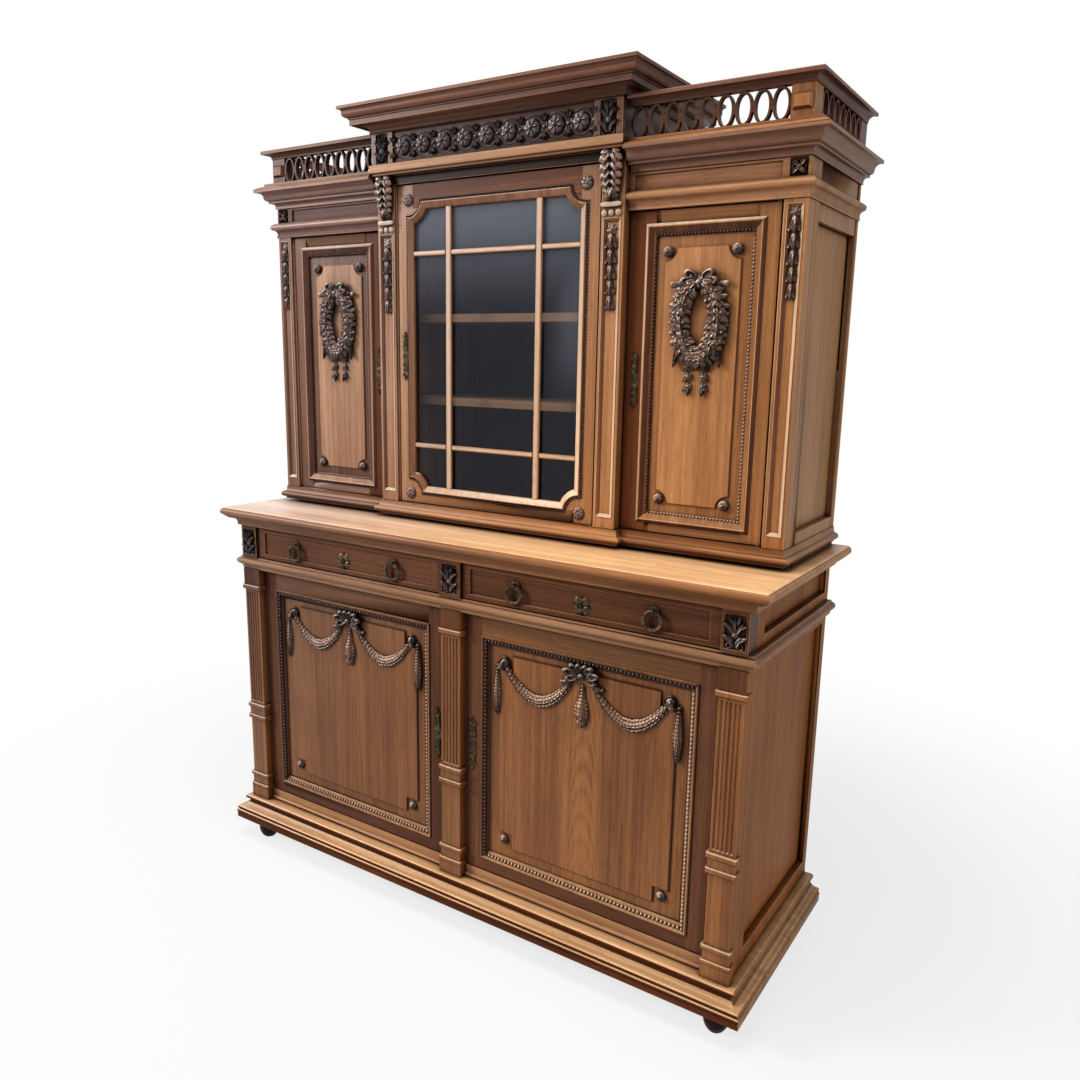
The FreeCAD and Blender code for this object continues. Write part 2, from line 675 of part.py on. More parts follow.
def husk_drop(x, z, face):
    """A hanging row of husks, drawn as a tapering strip."""
    low, high = z
    corners = [(x - HUSK_POINT, low), (x + HUSK_POINT, low), (x + HUSK_HALF, high), (x - HUSK_HALF, high)]
    return relief(corners, face + SUNK_DEPTH, HUSK_PROUD)


def corbel(x):
    """A leaf corbel below the crown, drawn as a tapering block over a small fillet."""
    low, high = CORBEL_Z
    thin, thick = CORBEL_PROUD
    foot = low - CORBEL_FILLET
    section = [(CENTRE_FACE, foot), (CENTRE_FACE - thin, foot), (CENTRE_FACE - thin, low),
               (CENTRE_FACE - thick, high), (CENTRE_FACE, high)]
    left = x - CORBEL_HALF
    return outline(section, lambda y, z: V(left, y, z)).extrude(RIGHT * (2 * CORBEL_HALF))


def pilaster_carvings():
    """Husk drops on the four upper pilasters and the two corbels."""
    wing_x = sum(WING_SUNK[0]) / 2
    centre_x = sum(CENTRE_SUNK[0]) / 2
    pieces = [husk_drop(wing_x, WING_HUSK_Z, WING_FACE), husk_drop(centre_x, CENTRE_HUSK_Z, CENTRE_FACE),
              corbel(centre_x)]
    save("pilaster_carvings", both(pieces))


def wing_path(half, front, inner_x):
    """Round the right-hand side and front of a wing, as seen from above."""
    return [(inner_x, front), (half, front), (half, BACK)]


def wing_friezes():
    """Frieze board over each wing door, with the astragal carried round the side."""
    board = block((CROWN_HALF, CASE_HALF), (WING_FACE, UPPER_FRONT), (WING_POST_TOP, WING_FRIEZE_TOP))
    board = board.cut(block(FRIEZE_PANEL[0], (WING_FACE, WING_FACE + SUNK_DEPTH), FRIEZE_PANEL[1]))
    board = board.cut(sunk(FRIEZE_SQUARE_X, FRIEZE_SQUARE_Z, FRIEZE_SQUARE_HALF, WING_FACE))
    strips = runs(wing_path(CASE_HALF, WING_FACE, CROWN_HALF), ASTRAGAL_PROFILE)
    save("wing_friezes", both([board] + strips))


def wing_cornices():
    """Cornice round each wing."""
    save("wing_cornices", both(runs(wing_path(CASE_HALF, WING_FACE, BASE_BREAK_X), CORNICE_PROFILE)))


def raised_block(x, z):
    """A small block with sloping edges on the face of a gallery post."""
    wide, tall = POST_BLOCK_HALF
    low = Part.makePolygon([V(x + i * wide, GALLERY_FACE, z + j * tall)
                            for i, j in ((-1, -1), (1, -1), (1, 1), (-1, 1), (-1, -1))])
    wide, tall = wide - POST_BLOCK_SLOPE, tall - POST_BLOCK_SLOPE
    high = Part.makePolygon([V(x + i * wide, GALLERY_FACE - POST_BLOCK_PROUD, z + j * tall)
                             for i, j in ((-1, -1), (1, -1), (1, 1), (-1, 1), (-1, -1))])
    return Part.makeLoft([low, high], True, True)


def gallery_rails():
    """Corner posts and moulded top rail of each gallery."""
    x = (GALLERY_HALF - GALLERY_POST, GALLERY_HALF)
    z = (CORNICE_TOP, GALLERY_RAIL_Z[0])
    middle_z = sum(z) / 2
    front = block(x, (GALLERY_FACE, GALLERY_FACE + GALLERY_POST), z)
    front = front.fuse(raised_block(sum(x) / 2, middle_z)).removeSplitter().Solids[0]
    back = block(x, (BACK - GALLERY_POST, BACK), z)
    rails = runs(wing_path(GALLERY_HALF, GALLERY_FACE, BASE_BREAK_X), RAIL_PROFILE)
    save("gallery_rails", both([front, back] + rails))


def fret(count, length):
    """A chain of upright ovals standing along +X from the origin, tied at mid height."""
    z = (CORNICE_TOP, GALLERY_RAIL_Z[0])
    middle = sum(z) / 2
    pitch = length / count
    wide, tall = pitch / 2 - OVAL_EASE, (z[1] - z[0]) / 2
    hole = (wide - OVAL_WALL, tall - OVAL_WALL)
    rings, ties, holes = [], [], []
    for i in range(count):
        x = (i + 0.5) * pitch
        rings.append(ellipse(x, middle, (wide, tall), FRET_THICK, FRET_THICK))
        holes.append(ellipse(x, middle, hole, FRET_THICK, FRET_THICK))
    for i in range(count + 1):
        x = (max(i * pitch - OVAL_WALL, 0.0), min(i * pitch + OVAL_WALL, length))
        ties.append(block(x, (0, FRET_THICK), (middle - TIE_HALF, middle + TIE_HALF)))
    return rings[0].multiFuse(rings[1:] + ties).cut(Part.makeCompound(holes)).removeSplitter().Solids[0]


def gallery_fretwork():
    """Pierced ovals along the front and side of each gallery."""
    start = BASE_BREAK_X
    front = fret(FRONT_OVALS, GALLERY_HALF - GALLERY_POST - start)
    front.translate(V(start, GALLERY_FACE, 0))
    first = GALLERY_FACE + GALLERY_POST
    side = fret(SIDE_OVALS, BACK - GALLERY_POST - first)
    side.rotate(ORIGIN, UP, 90)
    side.translate(V(GALLERY_HALF, first, 0))
    save("gallery_fretwork", both([front, side]))


# Crown over the glazed door


def crown_frieze():
    """Architrave, band, and the frieze board with its side boards."""
    section = outline(ARCHITRAVE_STEPS, lambda y, z: V(-CROWN_HALF, y, z))
    architrave = section.extrude(RIGHT * (2 * CROWN_HALF))
    half = CROWN_HALF + BAND_RETURN
    band = block((-CROWN_HALF, CROWN_HALF), (CROWN_FACE, UPPER_FRONT), CROWN_BAND_Z)
    lip = block((-half, half), (BAND_FACE, CROWN_FACE + CROWN_WALL), CROWN_BAND_Z)
    band = band.fuse(lip).removeSplitter()
    z = (CROWN_BAND_Z[1], CROWN_FRIEZE_TOP)
    board = block((-CROWN_HALF, CROWN_HALF), (CROWN_FACE, CROWN_FACE + CROWN_WALL), z)
    hollow = block((-CROWN_PANEL_HALF, CROWN_PANEL_HALF), (CROWN_FACE, CROWN_FACE + SUNK_DEPTH), z)
    board = board.cut(hollow)
    for x in (-CROWN_PLAQUE_X, CROWN_PLAQUE_X):
        board = board.cut(sunk(x, CROWN_MID_Z, CROWN_PLAQUE_HALF, CROWN_FACE))
    x = (CROWN_HALF - CROWN_WALL, CROWN_HALF)
    upper = block(x, (CROWN_FACE + CROWN_WALL, UPPER_Y[1]), z)
    lower = block(x, UPPER_Y, (WING_FRIEZE_TOP + CEILING_THICK, CROWN_BAND_Z[1]))
    save("crown_frieze", [architrave, band.Solids[0], board.Solids[0]] + both([upper, lower]))


def crown_rosettes():
    """A row of carved rosettes, drawn as round bosses."""
    face = CROWN_FACE + SUNK_DEPTH
    first = -(ROSETTES - 1) / 2 * ROSETTE_PITCH
    save("crown_rosettes", [disc(first + i * ROSETTE_PITCH, CROWN_MID_Z, ROSETTE_R, face, ROSETTE_PROUD)
                            for i in range(ROSETTES)])


def crown_cornice():
    """Cornice round the front and sides of the crown."""
    save("crown_cornice", runs(u_path(CROWN_HALF, CROWN_FACE), CROWN_PROFILE))


def carved_plaques():
    """Carved plaques of the frieze blocks, the wing friezes and the crown."""
    pieces = [plaque(PILASTER_X, PLAQUE_Z, PLAQUE_HALF, BLOCK_FACE),
              plaque(FRIEZE_SQUARE_X, FRIEZE_SQUARE_Z, FRIEZE_SQUARE_HALF, WING_FACE),
              plaque(CROWN_PLAQUE_X, CROWN_MID_Z, CROWN_PLAQUE_HALF, CROWN_FACE)]
    save("carved_plaques", [plaque(0, PLAQUE_Z, PLAQUE_HALF, BLOCK_FACE)] + both(pieces))


# Doors

def pivot_points():
    """Plan place, lower and upper gap heights of the right-hand doors' pivots."""
    edges = [(LOWER_DOOR_X[1], LOWER_FACE, BASE_RAIL_TOP, POST_TOP),
             (WING_DOOR_X[1], WING_DOOR_FACE, UPPER_FLOOR_Z[1], WING_POST_TOP),
             (CENTRE_DOOR_HALF, CENTRE_DOOR_FACE, UPPER_FLOOR_Z[1], CENTRE_POST_TOP)]
    return [(x - PIVOT_INSET, y + PIVOT_INSET, low, high) for x, y, low, high in edges]


def pivot(x, y, z, way):
    """A pin on a round plate, pointing up from a sill or down from a head rail."""
    axis = UP * way
    plate = Part.makeCylinder(PIVOT_PLATE_R, PIVOT_PLATE, V(x, y, z), axis)
    pin = Part.makeCylinder(PIVOT_R, DOOR_GAP + PIVOT_DEPTH - PIVOT_END_GAP, V(x, y, z), axis)
    return plate.fuse(pin).removeSplitter().Solids[0]


def hinge_pivots():
    """A pivot above and below each of the five doors."""
    lower, wing, centre = [[pivot(x, y, low, 1), pivot(x, y, high, -1)]
                           for x, y, low, high in pivot_points()]
    save("hinge_pivots", both(lower) + both(wing) + centre)


def bored(stile, point):
    """A hinge stile with a hole at each end for its pivot pins."""
    x, y, low, high = point
    radius = PIVOT_R + RUNNING_CLEARANCE
    holes = [Part.makeCylinder(radius, PIVOT_DEPTH + DOOR_GAP, V(x, y, z), UP * way)
             for z, way in ((low, 1), (high, -1))]
    return stile.cut(Part.makeCompound(holes)).Solids[0]


def leaf(x, z, opening_x, opening_z, face, thick, point):
    """Two stiles and two rails of a door; the right-hand stile is bored for the pivots."""
    y = (face, face + thick)
    lock_stile = block((x[0], opening_x[0]), y, z)
    hinge_stile = bored(block((opening_x[1], x[1]), y, z), point)
    rails = [block(opening_x, y, (z[0], opening_z[0])), block(opening_x, y, (opening_z[1], z[1]))]
    return [lock_stile, hinge_stile] + rails


def save_pair(name, solids):
    """A piece of the right-hand door, and its mirrored twin on the left-hand door."""
    save(f"{name}_right", solids)
    save(f"{name}_left", [mirrored(solid) for solid in solids])


def raised_panel(x, z, back_face, field, rise):
    """A flat panel with a raised field."""
    flat = block(x, (back_face, back_face + PANEL_THICK), z)
    return flat.fuse(relief(field, back_face, rise)).removeSplitter().Solids[0]


def lower_doors():
    """Frame with its beaded moulding, and the panel with a notched field."""
    frame = leaf(LOWER_DOOR_X, LOWER_DOOR_Z, LOWER_OPENING_X, LOWER_OPENING_Z, LOWER_FACE,
                 LOWER_DOOR_THICK, pivot_points()[0])
    beads = frame_mould(LOWER_OPENING_X, LOWER_OPENING_Z, BEAD_PROFILE, LOWER_FACE)
    save_pair("lower_door_frame", frame + beads)
    field = notched(LOWER_FIELD_X, LOWER_FIELD_Z, LOWER_NOTCH)
    face = LOWER_FACE + LOWER_PANEL_SET
    panel = raised_panel(LOWER_OPENING_X, LOWER_OPENING_Z, face, field, LOWER_FIELD_RISE)
    save_pair("lower_door_panel", [panel])


def swag(way):
    """One hanging garland, drawn as a crescent between the bow and its hook."""
    ends = SWAG_X + way * SWAG_START, SWAG_X + way * SWAG_REACH
    middle = SWAG_X + way * SWAG_LOW_X
    return [(ends[0], SWAG_TOP), (middle, SWAG_DIP, ends[1], SWAG_TOP),
            (ends[1] - way * SWAG_END_WIDTH, SWAG_TOP),
            (middle, SWAG_DIP + SWAG_THICK, ends[0] + way * SWAG_END_WIDTH, SWAG_TOP)]


def lower_carvings():
    """Swags, bow and drops on each lower panel, with the corner bosses."""
    face = LOWER_FACE + LOWER_PANEL_SET - LOWER_FIELD_RISE
    pieces = [relief(swag(way), face, SWAG_PROUD) for way in (-1, 1)]
    bow = (BOW_HALF[0], BOW_HALF[1] / 2)
    pieces.append(ellipse(SWAG_X, BOW_Z - bow[1], bow, face, SWAG_PROUD))
    for reach, half, low in DROPS:
        x = SWAG_X + reach
        point = half / DROP_TAPER
        corners = [(x - point, low), (x + point, low), (x + half, DROP_TOP), (x - half, DROP_TOP)]
        pieces.append(relief(corners, face, SWAG_PROUD))
    carving = pieces[0].multiFuse(pieces[1:]).removeSplitter()
    reach, z, radius = LOWER_BOSS
    bosses = [disc(SWAG_X + way * reach, z, radius, face + LOWER_FIELD_RISE, BOSS_PROUD) for way in (-1, 1)]
    save_pair("lower_door_carving", carving.Solids + bosses)


def wing_doors():
    """Frame with a raised moulding planted on it, and the panel with a scooped field."""
    frame = leaf(WING_DOOR_X, WING_DOOR_Z, WING_OPENING_X, WING_OPENING_Z, WING_DOOR_FACE,
                 WING_DOOR_THICK, pivot_points()[1])
    mould = frame_mould(WING_MOULD_X, WING_MOULD_Z, BOLECTION_PROFILE, WING_DOOR_FACE)
    save_pair("wing_door_frame", frame + mould)
    field = scooped(WING_FIELD_X, WING_FIELD_Z, WING_SCOOP)
    face = WING_DOOR_FACE + WING_PANEL_SET
    panel = raised_panel(WING_OPENING_X, WING_OPENING_Z, face, field, WING_FIELD_RISE)
    save_pair("wing_door_panel", [panel])


def wing_carvings():
    """Wreath with two tails on each wing panel, and its four corner bosses."""
    face = WING_DOOR_FACE + WING_PANEL_SET - WING_FIELD_RISE
    ring = ellipse(WREATH_X, WREATH_Z, WREATH_OUTER, face, WREATH_PROUD)
    ring = ring.cut(ellipse(WREATH_X, WREATH_Z, WREATH_INNER, face, WREATH_PROUD))
    tails = [block((x - TAIL_HALF, x + TAIL_HALF), (face - WREATH_PROUD, face),
                   (TAIL_LOW, WREATH_Z - WREATH_OUTER[1] + TAIL_HALF)) for x in TAIL_X]
    carving = ring.multiFuse(tails).removeSplitter()
    bosses = [disc(x, z, WING_BOSS_R, face + WING_FIELD_RISE, BOSS_PROUD)
              for x in (WING_FIELD_X[0] + WING_BOSS_IN, WING_FIELD_X[1] - WING_BOSS_IN)
              for z in (WING_FIELD_Z[0] + WING_BOSS_IN, WING_FIELD_Z[1] - WING_BOSS_IN)]
    save_pair("wing_door_carving", carving.Solids + bosses)


def boss_places():
    """Centres of the four bosses, just outside the corners of the glazed opening."""
    out_x, out_z = CENTRE_BOSS_OUT
    return [(x, z) for x in (-GLASS_HALF - out_x, GLASS_HALF + out_x) for z in (GLASS_Z[0] - out_z, GLASS_Z[1] + out_z)]


def corner_fill(x, z):
    """The part of a disc round a boss that fills one corner of the glazed opening."""
    whole = disc(x, z, CORNER_R, CENTRE_DOOR_FACE + BAR_THICK, BAR_THICK)
    inside = block((-GLASS_HALF, GLASS_HALF), (CENTRE_DOOR_FACE - OVERRUN, 0.0), GLASS_Z)
    return whole.common(inside).Solids[0]


def glazing_bars():
    """Two upright bars and two rows of cross bars, tied into the rounded corners of the opening."""
    y = (CENTRE_DOOR_FACE, CENTRE_DOOR_FACE + BAR_THICK)
    near, far = BAR_X - BAR_HALF, BAR_X + BAR_HALF
    spans = [(-GLASS_HALF, -far), (-near, near), (far, GLASS_HALF)]
    uprights = [block((x - BAR_HALF, x + BAR_HALF), y, GLASS_Z) for x in (-BAR_X, BAR_X)]
    crosses = [block(span, y, (z - CROSS_BAR_HALF, z + CROSS_BAR_HALF))
               for z in CROSS_BAR_Z for span in spans]
    save("glazing_bars", uprights + crosses)


def centre_door():
    """Frame, bars, glass and corner bosses of the glazed door."""
    half = CENTRE_DOOR_HALF
    frame = leaf((-half, half), CENTRE_DOOR_Z, (-GLASS_HALF, GLASS_HALF), GLASS_Z, CENTRE_DOOR_FACE,
                 CENTRE_DOOR_THICK, pivot_points()[2])
    corners = [corner_fill(x, z) for x, z in boss_places()]
    save("centre_door_frame", frame + corners)
    glazing_bars()
    front = CENTRE_DOOR_FACE + BAR_THICK + PANE_EASE
    wide = GLASS_HALF - PANE_EASE
    z = (GLASS_Z[0] + PANE_EASE, GLASS_Z[1] - PANE_EASE)
    pane = block((-wide, wide), (front, front + PANE_THICK), z)
    save("centre_door_glass", [pane])


def lock(plate, face, thick, edge):
    """Keyhole plate and lock case of a door whose free edge is at x = edge."""
    x, z, wide, tall = plate
    shape = block((x - wide, x + wide), (face - PLATE, face), (z - tall, z + tall))
    shape = shape.cut(disc(x, z, KEYHOLE_R, face, PLATE))
    width, height, depth = LOCK_CASE
    left = edge + LOCK_BACKSET
    back = face + thick
    case = block((left, left + width), (back, back + depth), (z - height / 2, z + height / 2))
    return [shape.Solids[0], case]


def door_locks():
    """Keyhole plates and lock cases of the five doors, with the bosses of the glazed one."""
    save_pair("lower_door_lock", lock(LOWER_ESCUTCHEON, LOWER_FACE, LOWER_DOOR_THICK, LOWER_DOOR_X[0]))
    save_pair("wing_door_lock", lock(WING_ESCUTCHEON, WING_DOOR_FACE, WING_DOOR_THICK, WING_DOOR_X[0]))
    plates = lock(CENTRE_ESCUTCHEON, CENTRE_DOOR_FACE, CENTRE_DOOR_THICK, -CENTRE_DOOR_HALF)
    save("centre_door_lock", plates)
    bosses = [disc(x, z, CENTRE_BOSS_R, CENTRE_DOOR_FACE, CENTRE_BOSS_PROUD) for x, z in boss_places()]
    save("centre_door_bosses", bosses)


# Drawers


def drawer_fronts():
    """Front boards with a long sunk panel."""
    front = block(DRAWER_X, (DRAWER_FACE, DRAWER_FACE + DRAWER_FRONT_THICK), DRAWER_Z)
    hollow = block(DRAWER_PANEL_X, (DRAWER_FACE, DRAWER_FACE + DRAWER_SINK),
                   (DRAWER_Z[0] + DRAWER_PANEL_EDGE, DRAWER_Z[1] - DRAWER_PANEL_EDGE))
    save_pair("drawer_front", [front.cut(hollow).Solids[0]])


def drawer_boxes():
    """Sides, back and bottom of the drawers."""
    left = DRAWER_X[0] + RUNNER_INSET
    right = DRAWER_X[1] - RUNNER_INSET
    front = DRAWER_FACE + DRAWER_FRONT_THICK
    back = front + DRAWER_DEPTH
    inner = (left + DRAWER_WALL, right - DRAWER_WALL)
    z = (DRAWER_Z[0], DRAWER_SIDE_TOP)
    pieces = [block((left, inner[0]), (front, back), z), block((inner[1], right), (front, back), z),
              block(inner, (front, back - DRAWER_WALL), DRAWER_BOTTOM_Z),
              block(inner, (back - DRAWER_WALL, back), z)]
    save_pair("drawer_box", pieces)


def ring_knob(x):
    """Rose, stem and drilled ball that hold a ring pull."""
    face = DRAWER_FACE + DRAWER_SINK
    z = RING_Z + RING_PIVOT_UP
    rose = disc(x, z, ROSE_R, face, ROSE_THICK)
    stem = disc(x, z, STEM_R, face, face - RING_Y)
    ball = Part.makeSphere(KNOB_R, V(x, RING_Y, z))
    reach = KNOB_R + OVERRUN
    hole = Part.makeCylinder(RING_PIN_R + RUNNING_CLEARANCE, 2 * reach, V(x - reach, RING_Y, z), RIGHT)
    return rose.multiFuse([stem, ball]).removeSplitter().cut(hole).Solids[0]


def drawer_fittings():
    """Ring pull roses, keyhole plate and lock case of each drawer."""
    face = DRAWER_FACE + DRAWER_SINK
    width, height, depth = LOCK_CASE
    inside = DRAWER_FACE + DRAWER_FRONT_THICK
    for side, middle in (("right", DRAWER_CENTRE_X), ("left", -DRAWER_CENTRE_X)):
        plate = disc(middle, RING_Z, DRAWER_ESCUTCHEON_R, face, PLATE)
        plate = plate.cut(disc(middle, RING_Z, KEYHOLE_R, face, PLATE)).Solids[0]
        case = block((middle - height / 2, middle + height / 2), (inside, inside + depth),
                     (DRAWER_SIDE_TOP - width, DRAWER_SIDE_TOP))
        knobs = [ring_knob(middle + way * RING_SPACING) for way in (-1, 1)]
        save(f"drawer_fittings_{side}", knobs + [plate, case])


def pull_ring(x):
    """An open ring whose two ends carry the pins that turn in the ball."""
    centre = V(x, RING_Y, RING_Z)
    gap = KNOB_R + RING_KNOB_GAP
    wire = Part.makeTorus(RING_R, RING_WIRE, centre, V(0, 1, 0))
    knob_room = block((x - gap, x + gap), (RING_Y - gap, RING_Y + gap), (RING_Z, RING_Z + RING_R + gap))
    wire = wire.cut(knob_room)
    z = RING_Z + RING_PIVOT_UP
    root = gap + RING_KNOB_GAP
    pins = [Part.makeCylinder(RING_PIN_R, KNOB_R, V(x + way * root, RING_Y, z), RIGHT * -way)
            for way in (-1, 1)]
    return wire.multiFuse(pins).removeSplitter().Solids[0]


def pull_rings():
    """Four ring pulls, two on each drawer."""
    for name, way in (("inner", -1), ("outer", 1)):
        save_pair(f"pull_ring_{name}", [pull_ring(DRAWER_CENTRE_X + way * RING_SPACING)])


def main():
    """Writes every sub-part of the buffet."""
    os.makedirs("parts", exist_ok=True)
    lower_case = (bun_feet, plinth, lower_floor, lower_pilasters, lower_sides, lower_back, lower_divider,
                  lower_shelves, waist_moulding, drawer_runners, frieze_blocks, counter_top)
    upper_case = (upper_base, upper_sides, upper_back, upper_partitions, upper_roof, upper_shelves,
                  upper_pilasters, pilaster_carvings, wing_friezes, wing_cornices, gallery_rails,
                  gallery_fretwork, crown_frieze, crown_rosettes, crown_cornice, carved_plaques)
    moving = (hinge_pivots, lower_doors, lower_carvings, wing_doors, wing_carvings, centre_door, door_locks,
              drawer_fronts, drawer_boxes, drawer_fittings, pull_rings)
    for make in lower_case + upper_case + moving:
        make()


main()
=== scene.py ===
import math
import random
from contextlib import contextmanager

import bmesh
import bpy
from mathutils import Matrix, Vector


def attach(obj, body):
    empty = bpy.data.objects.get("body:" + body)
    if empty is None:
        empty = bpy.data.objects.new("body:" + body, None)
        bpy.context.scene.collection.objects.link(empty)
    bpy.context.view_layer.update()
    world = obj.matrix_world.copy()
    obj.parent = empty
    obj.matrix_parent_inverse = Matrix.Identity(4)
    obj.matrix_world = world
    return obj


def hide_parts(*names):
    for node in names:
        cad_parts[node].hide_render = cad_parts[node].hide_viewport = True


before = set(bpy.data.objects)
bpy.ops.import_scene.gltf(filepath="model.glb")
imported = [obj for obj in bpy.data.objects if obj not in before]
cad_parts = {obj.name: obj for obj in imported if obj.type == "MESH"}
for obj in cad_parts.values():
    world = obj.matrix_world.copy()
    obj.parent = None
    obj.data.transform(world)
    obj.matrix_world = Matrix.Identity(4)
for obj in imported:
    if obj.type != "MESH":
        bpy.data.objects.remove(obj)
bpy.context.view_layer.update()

MM = 0.001
SIDES = (("right", 1), ("left", -1))
draw = random.Random(7)

# Camera

CAMERA_AT = (1.42707, -2.03859, 1.53715)
CAMERA_TURN = 33.0769
CAMERA_DIP = 11.4546
CAMERA_ROLL = 1.01846
LENS = 30.368


def turn(degrees, axis):
    """A rotation matrix from degrees."""
    return Matrix.Rotation(math.radians(degrees), 4, axis)


def place_camera():
    """A standing viewpoint to the right of the front."""
    data = bpy.data.cameras.new("camera")
    data.lens = LENS
    camera = bpy.data.objects.new("camera", data)
    bpy.context.scene.collection.objects.link(camera)
    aim = turn(CAMERA_TURN, "Z") @ turn(90 - CAMERA_DIP, "X") @ turn(CAMERA_ROLL, "Z")
    camera.matrix_world = Matrix.Translation(CAMERA_AT) @ aim
    bpy.context.scene.camera = camera


place_camera()


# Shader sums

def operator(kind, swapped=False):
    """An arithmetic sign between two values, worked out by one node."""
    if swapped:
        return lambda value, other: value.finish.sum(kind, other, value)
    return lambda value, other: value.finish.sum(kind, value, other)


class Value:
    """A shader socket that takes part in sums."""

    __add__ = __radd__ = operator("ADD")
    __mul__ = __rmul__ = operator("MULTIPLY")
    __sub__ = operator("SUBTRACT")
    __rsub__ = operator("SUBTRACT", True)
    __pow__ = operator("POWER")

    def __init__(self, finish, socket):
        self.finish = finish
        self.socket = socket

    def clipped(self, low, high):
        """0 below low, 1 above high, smooth between."""
        return self.finish.node("ShaderNodeMapRange", {"interpolation_type": "SMOOTHSTEP"},
                                {"Value": self, "From Min": low, "From Max": high})


class Finish:
    """One material, or the world around, and the nodes that paint it."""

    def __init__(self, owner, shader="Principled BSDF"):
        self.owner = owner
        owner.use_nodes = True
        self.tree = owner.node_tree
        self.shader = self.tree.nodes[shader]

    def plug(self, socket, value):
        if isinstance(value, Value):
            self.tree.links.new(value.socket, socket)
        else:
            socket.default_value = value

    def node(self, kind, settings=None, inputs=None, out=0):
        """Any node: its settings first, then the values or links of its sockets."""
        made = self.tree.nodes.new(kind)
        for key, value in (settings or {}).items():
            setattr(made, key, value)
        for key, value in (inputs or {}).items():
            self.plug(made.inputs[key], value)
        return Value(self, made.outputs[out])

    def sum(self, kind, *values):
        return self.node("ShaderNodeMath", {"operation": kind}, dict(enumerate(values)))

    def blend(self, mask, first, second, mode="MIX"):
        """A colour between two others."""
        factor, a, b, colour = 0, 6, 7, 2
        return self.node("ShaderNodeMix", {"data_type": "RGBA", "blend_type": mode},
                         {factor: mask, a: first, b: second}, colour)

    def dimmed(self, mask, colour, tint):
        """The colour, multiplied by a tint where the mask is 1."""
        return self.blend(mask, colour, self.blend(1, colour, tint, "MULTIPLY"))

    def noise(self, vector, scale, detail=2, distortion=0):
        return self.node("ShaderNodeTexNoise", None,
                         {"Vector": vector, "Scale": scale, "Detail": detail, "Distortion": distortion})

    def mark(self, name, out):
        """What the workbench has written on the boards."""
        return self.node("ShaderNodeAttribute", {"attribute_name": name}, None, out)

    def fibres(self, vector, along, scale, detail=2, distortion=0):
        """Noise drawn out along the last axis."""
        drawn = self.node("ShaderNodeVectorMath", {"operation": "MULTIPLY"}, {0: vector, 1: (1, 1, along)})
        return self.noise(drawn, scale, detail, distortion)

    def split(self, vector, axis):
        return self.node("ShaderNodeSeparateXYZ", None, {0: vector}, axis)

    def place(self):
        return self.node("ShaderNodeTexCoord", None, None, "Object")

    def wave(self, value):
        """Up and down between 0 and 1 as the value grows."""
        return self.sum("PINGPONG", value, 1)

    def hollows(self, reach):
        """1 in the open, falling to 0 in corners and hollows: the wood finishes paint shade there with it, the brass
        its patina.
        """
        return self.node("ShaderNodeAmbientOcclusion", {"samples": 6}, {"Distance": reach}, "AO")

    def cooled(self, colour, share):
        """Painted light: the colour turned cooler upwards and to the left, where the light is cooler."""
        cold = self.split(self.place(), "X") * COOL_ACROSS + self.split(self.place(), "Z") * COOL_UP + COOL_START
        return self.dimmed(cold.clipped(0, 1) * share, colour, COOL)

    def seen(self):
        """1 for what the eye sees straight, mirrored or through a pane."""
        kinds = ("Is Camera Ray", "Is Glossy Ray", "Is Transmission Ray")
        straight, glossy, through = (self.node("ShaderNodeLightPath", None, None, kind) for kind in kinds)
        return self.sum("MINIMUM", straight + glossy + through, 1)

    def bump(self, height, strength, depth):
        return self.node("ShaderNodeBump", None, {"Strength": strength, "Distance": depth, "Height": height})

    def paint(self, **sockets):
        for key, value in sockets.items():
            self.plug(self.shader.inputs[key.replace("_", " ")], value)
        return self.owner


def new_finish(name):
    return Finish(bpy.data.materials.new(name))


def rgb(red, green, blue):
    """A colour from its screen values, 0 to 255."""
    def linear(v):
        v /= 255
        return v / 12.92 if v <= 0.04045 else ((v + 0.055) / 1.055) ** 2.4
    return linear(red), linear(green), linear(blue), 1


# Finishes

GRAIN_MARK = "grain"
TONE_MARK = "tone"
RAIL_TONE = 0.3
# Painted light: a cooler tint upwards and to the left, by place
COOL = (0.8, 0.99, 1.6, 1)
COOL_ACROSS, COOL_UP, COOL_START = -0.9, 0.65, -0.45
# Painted shade, multiplied into tight hollows, into broader corners and recesses, and into the inner boards' hollows;
# the pores' tint is their own
HOLLOW_SHADE = (0.12, 0.09, 0.08, 1)
SHADE = (0.34, 0.28, 0.25, 1)
PORE = (0.4, 0.34, 0.3, 1)
DUSK = (0.3, 0.27, 0.25, 1)
WAX = 0.24


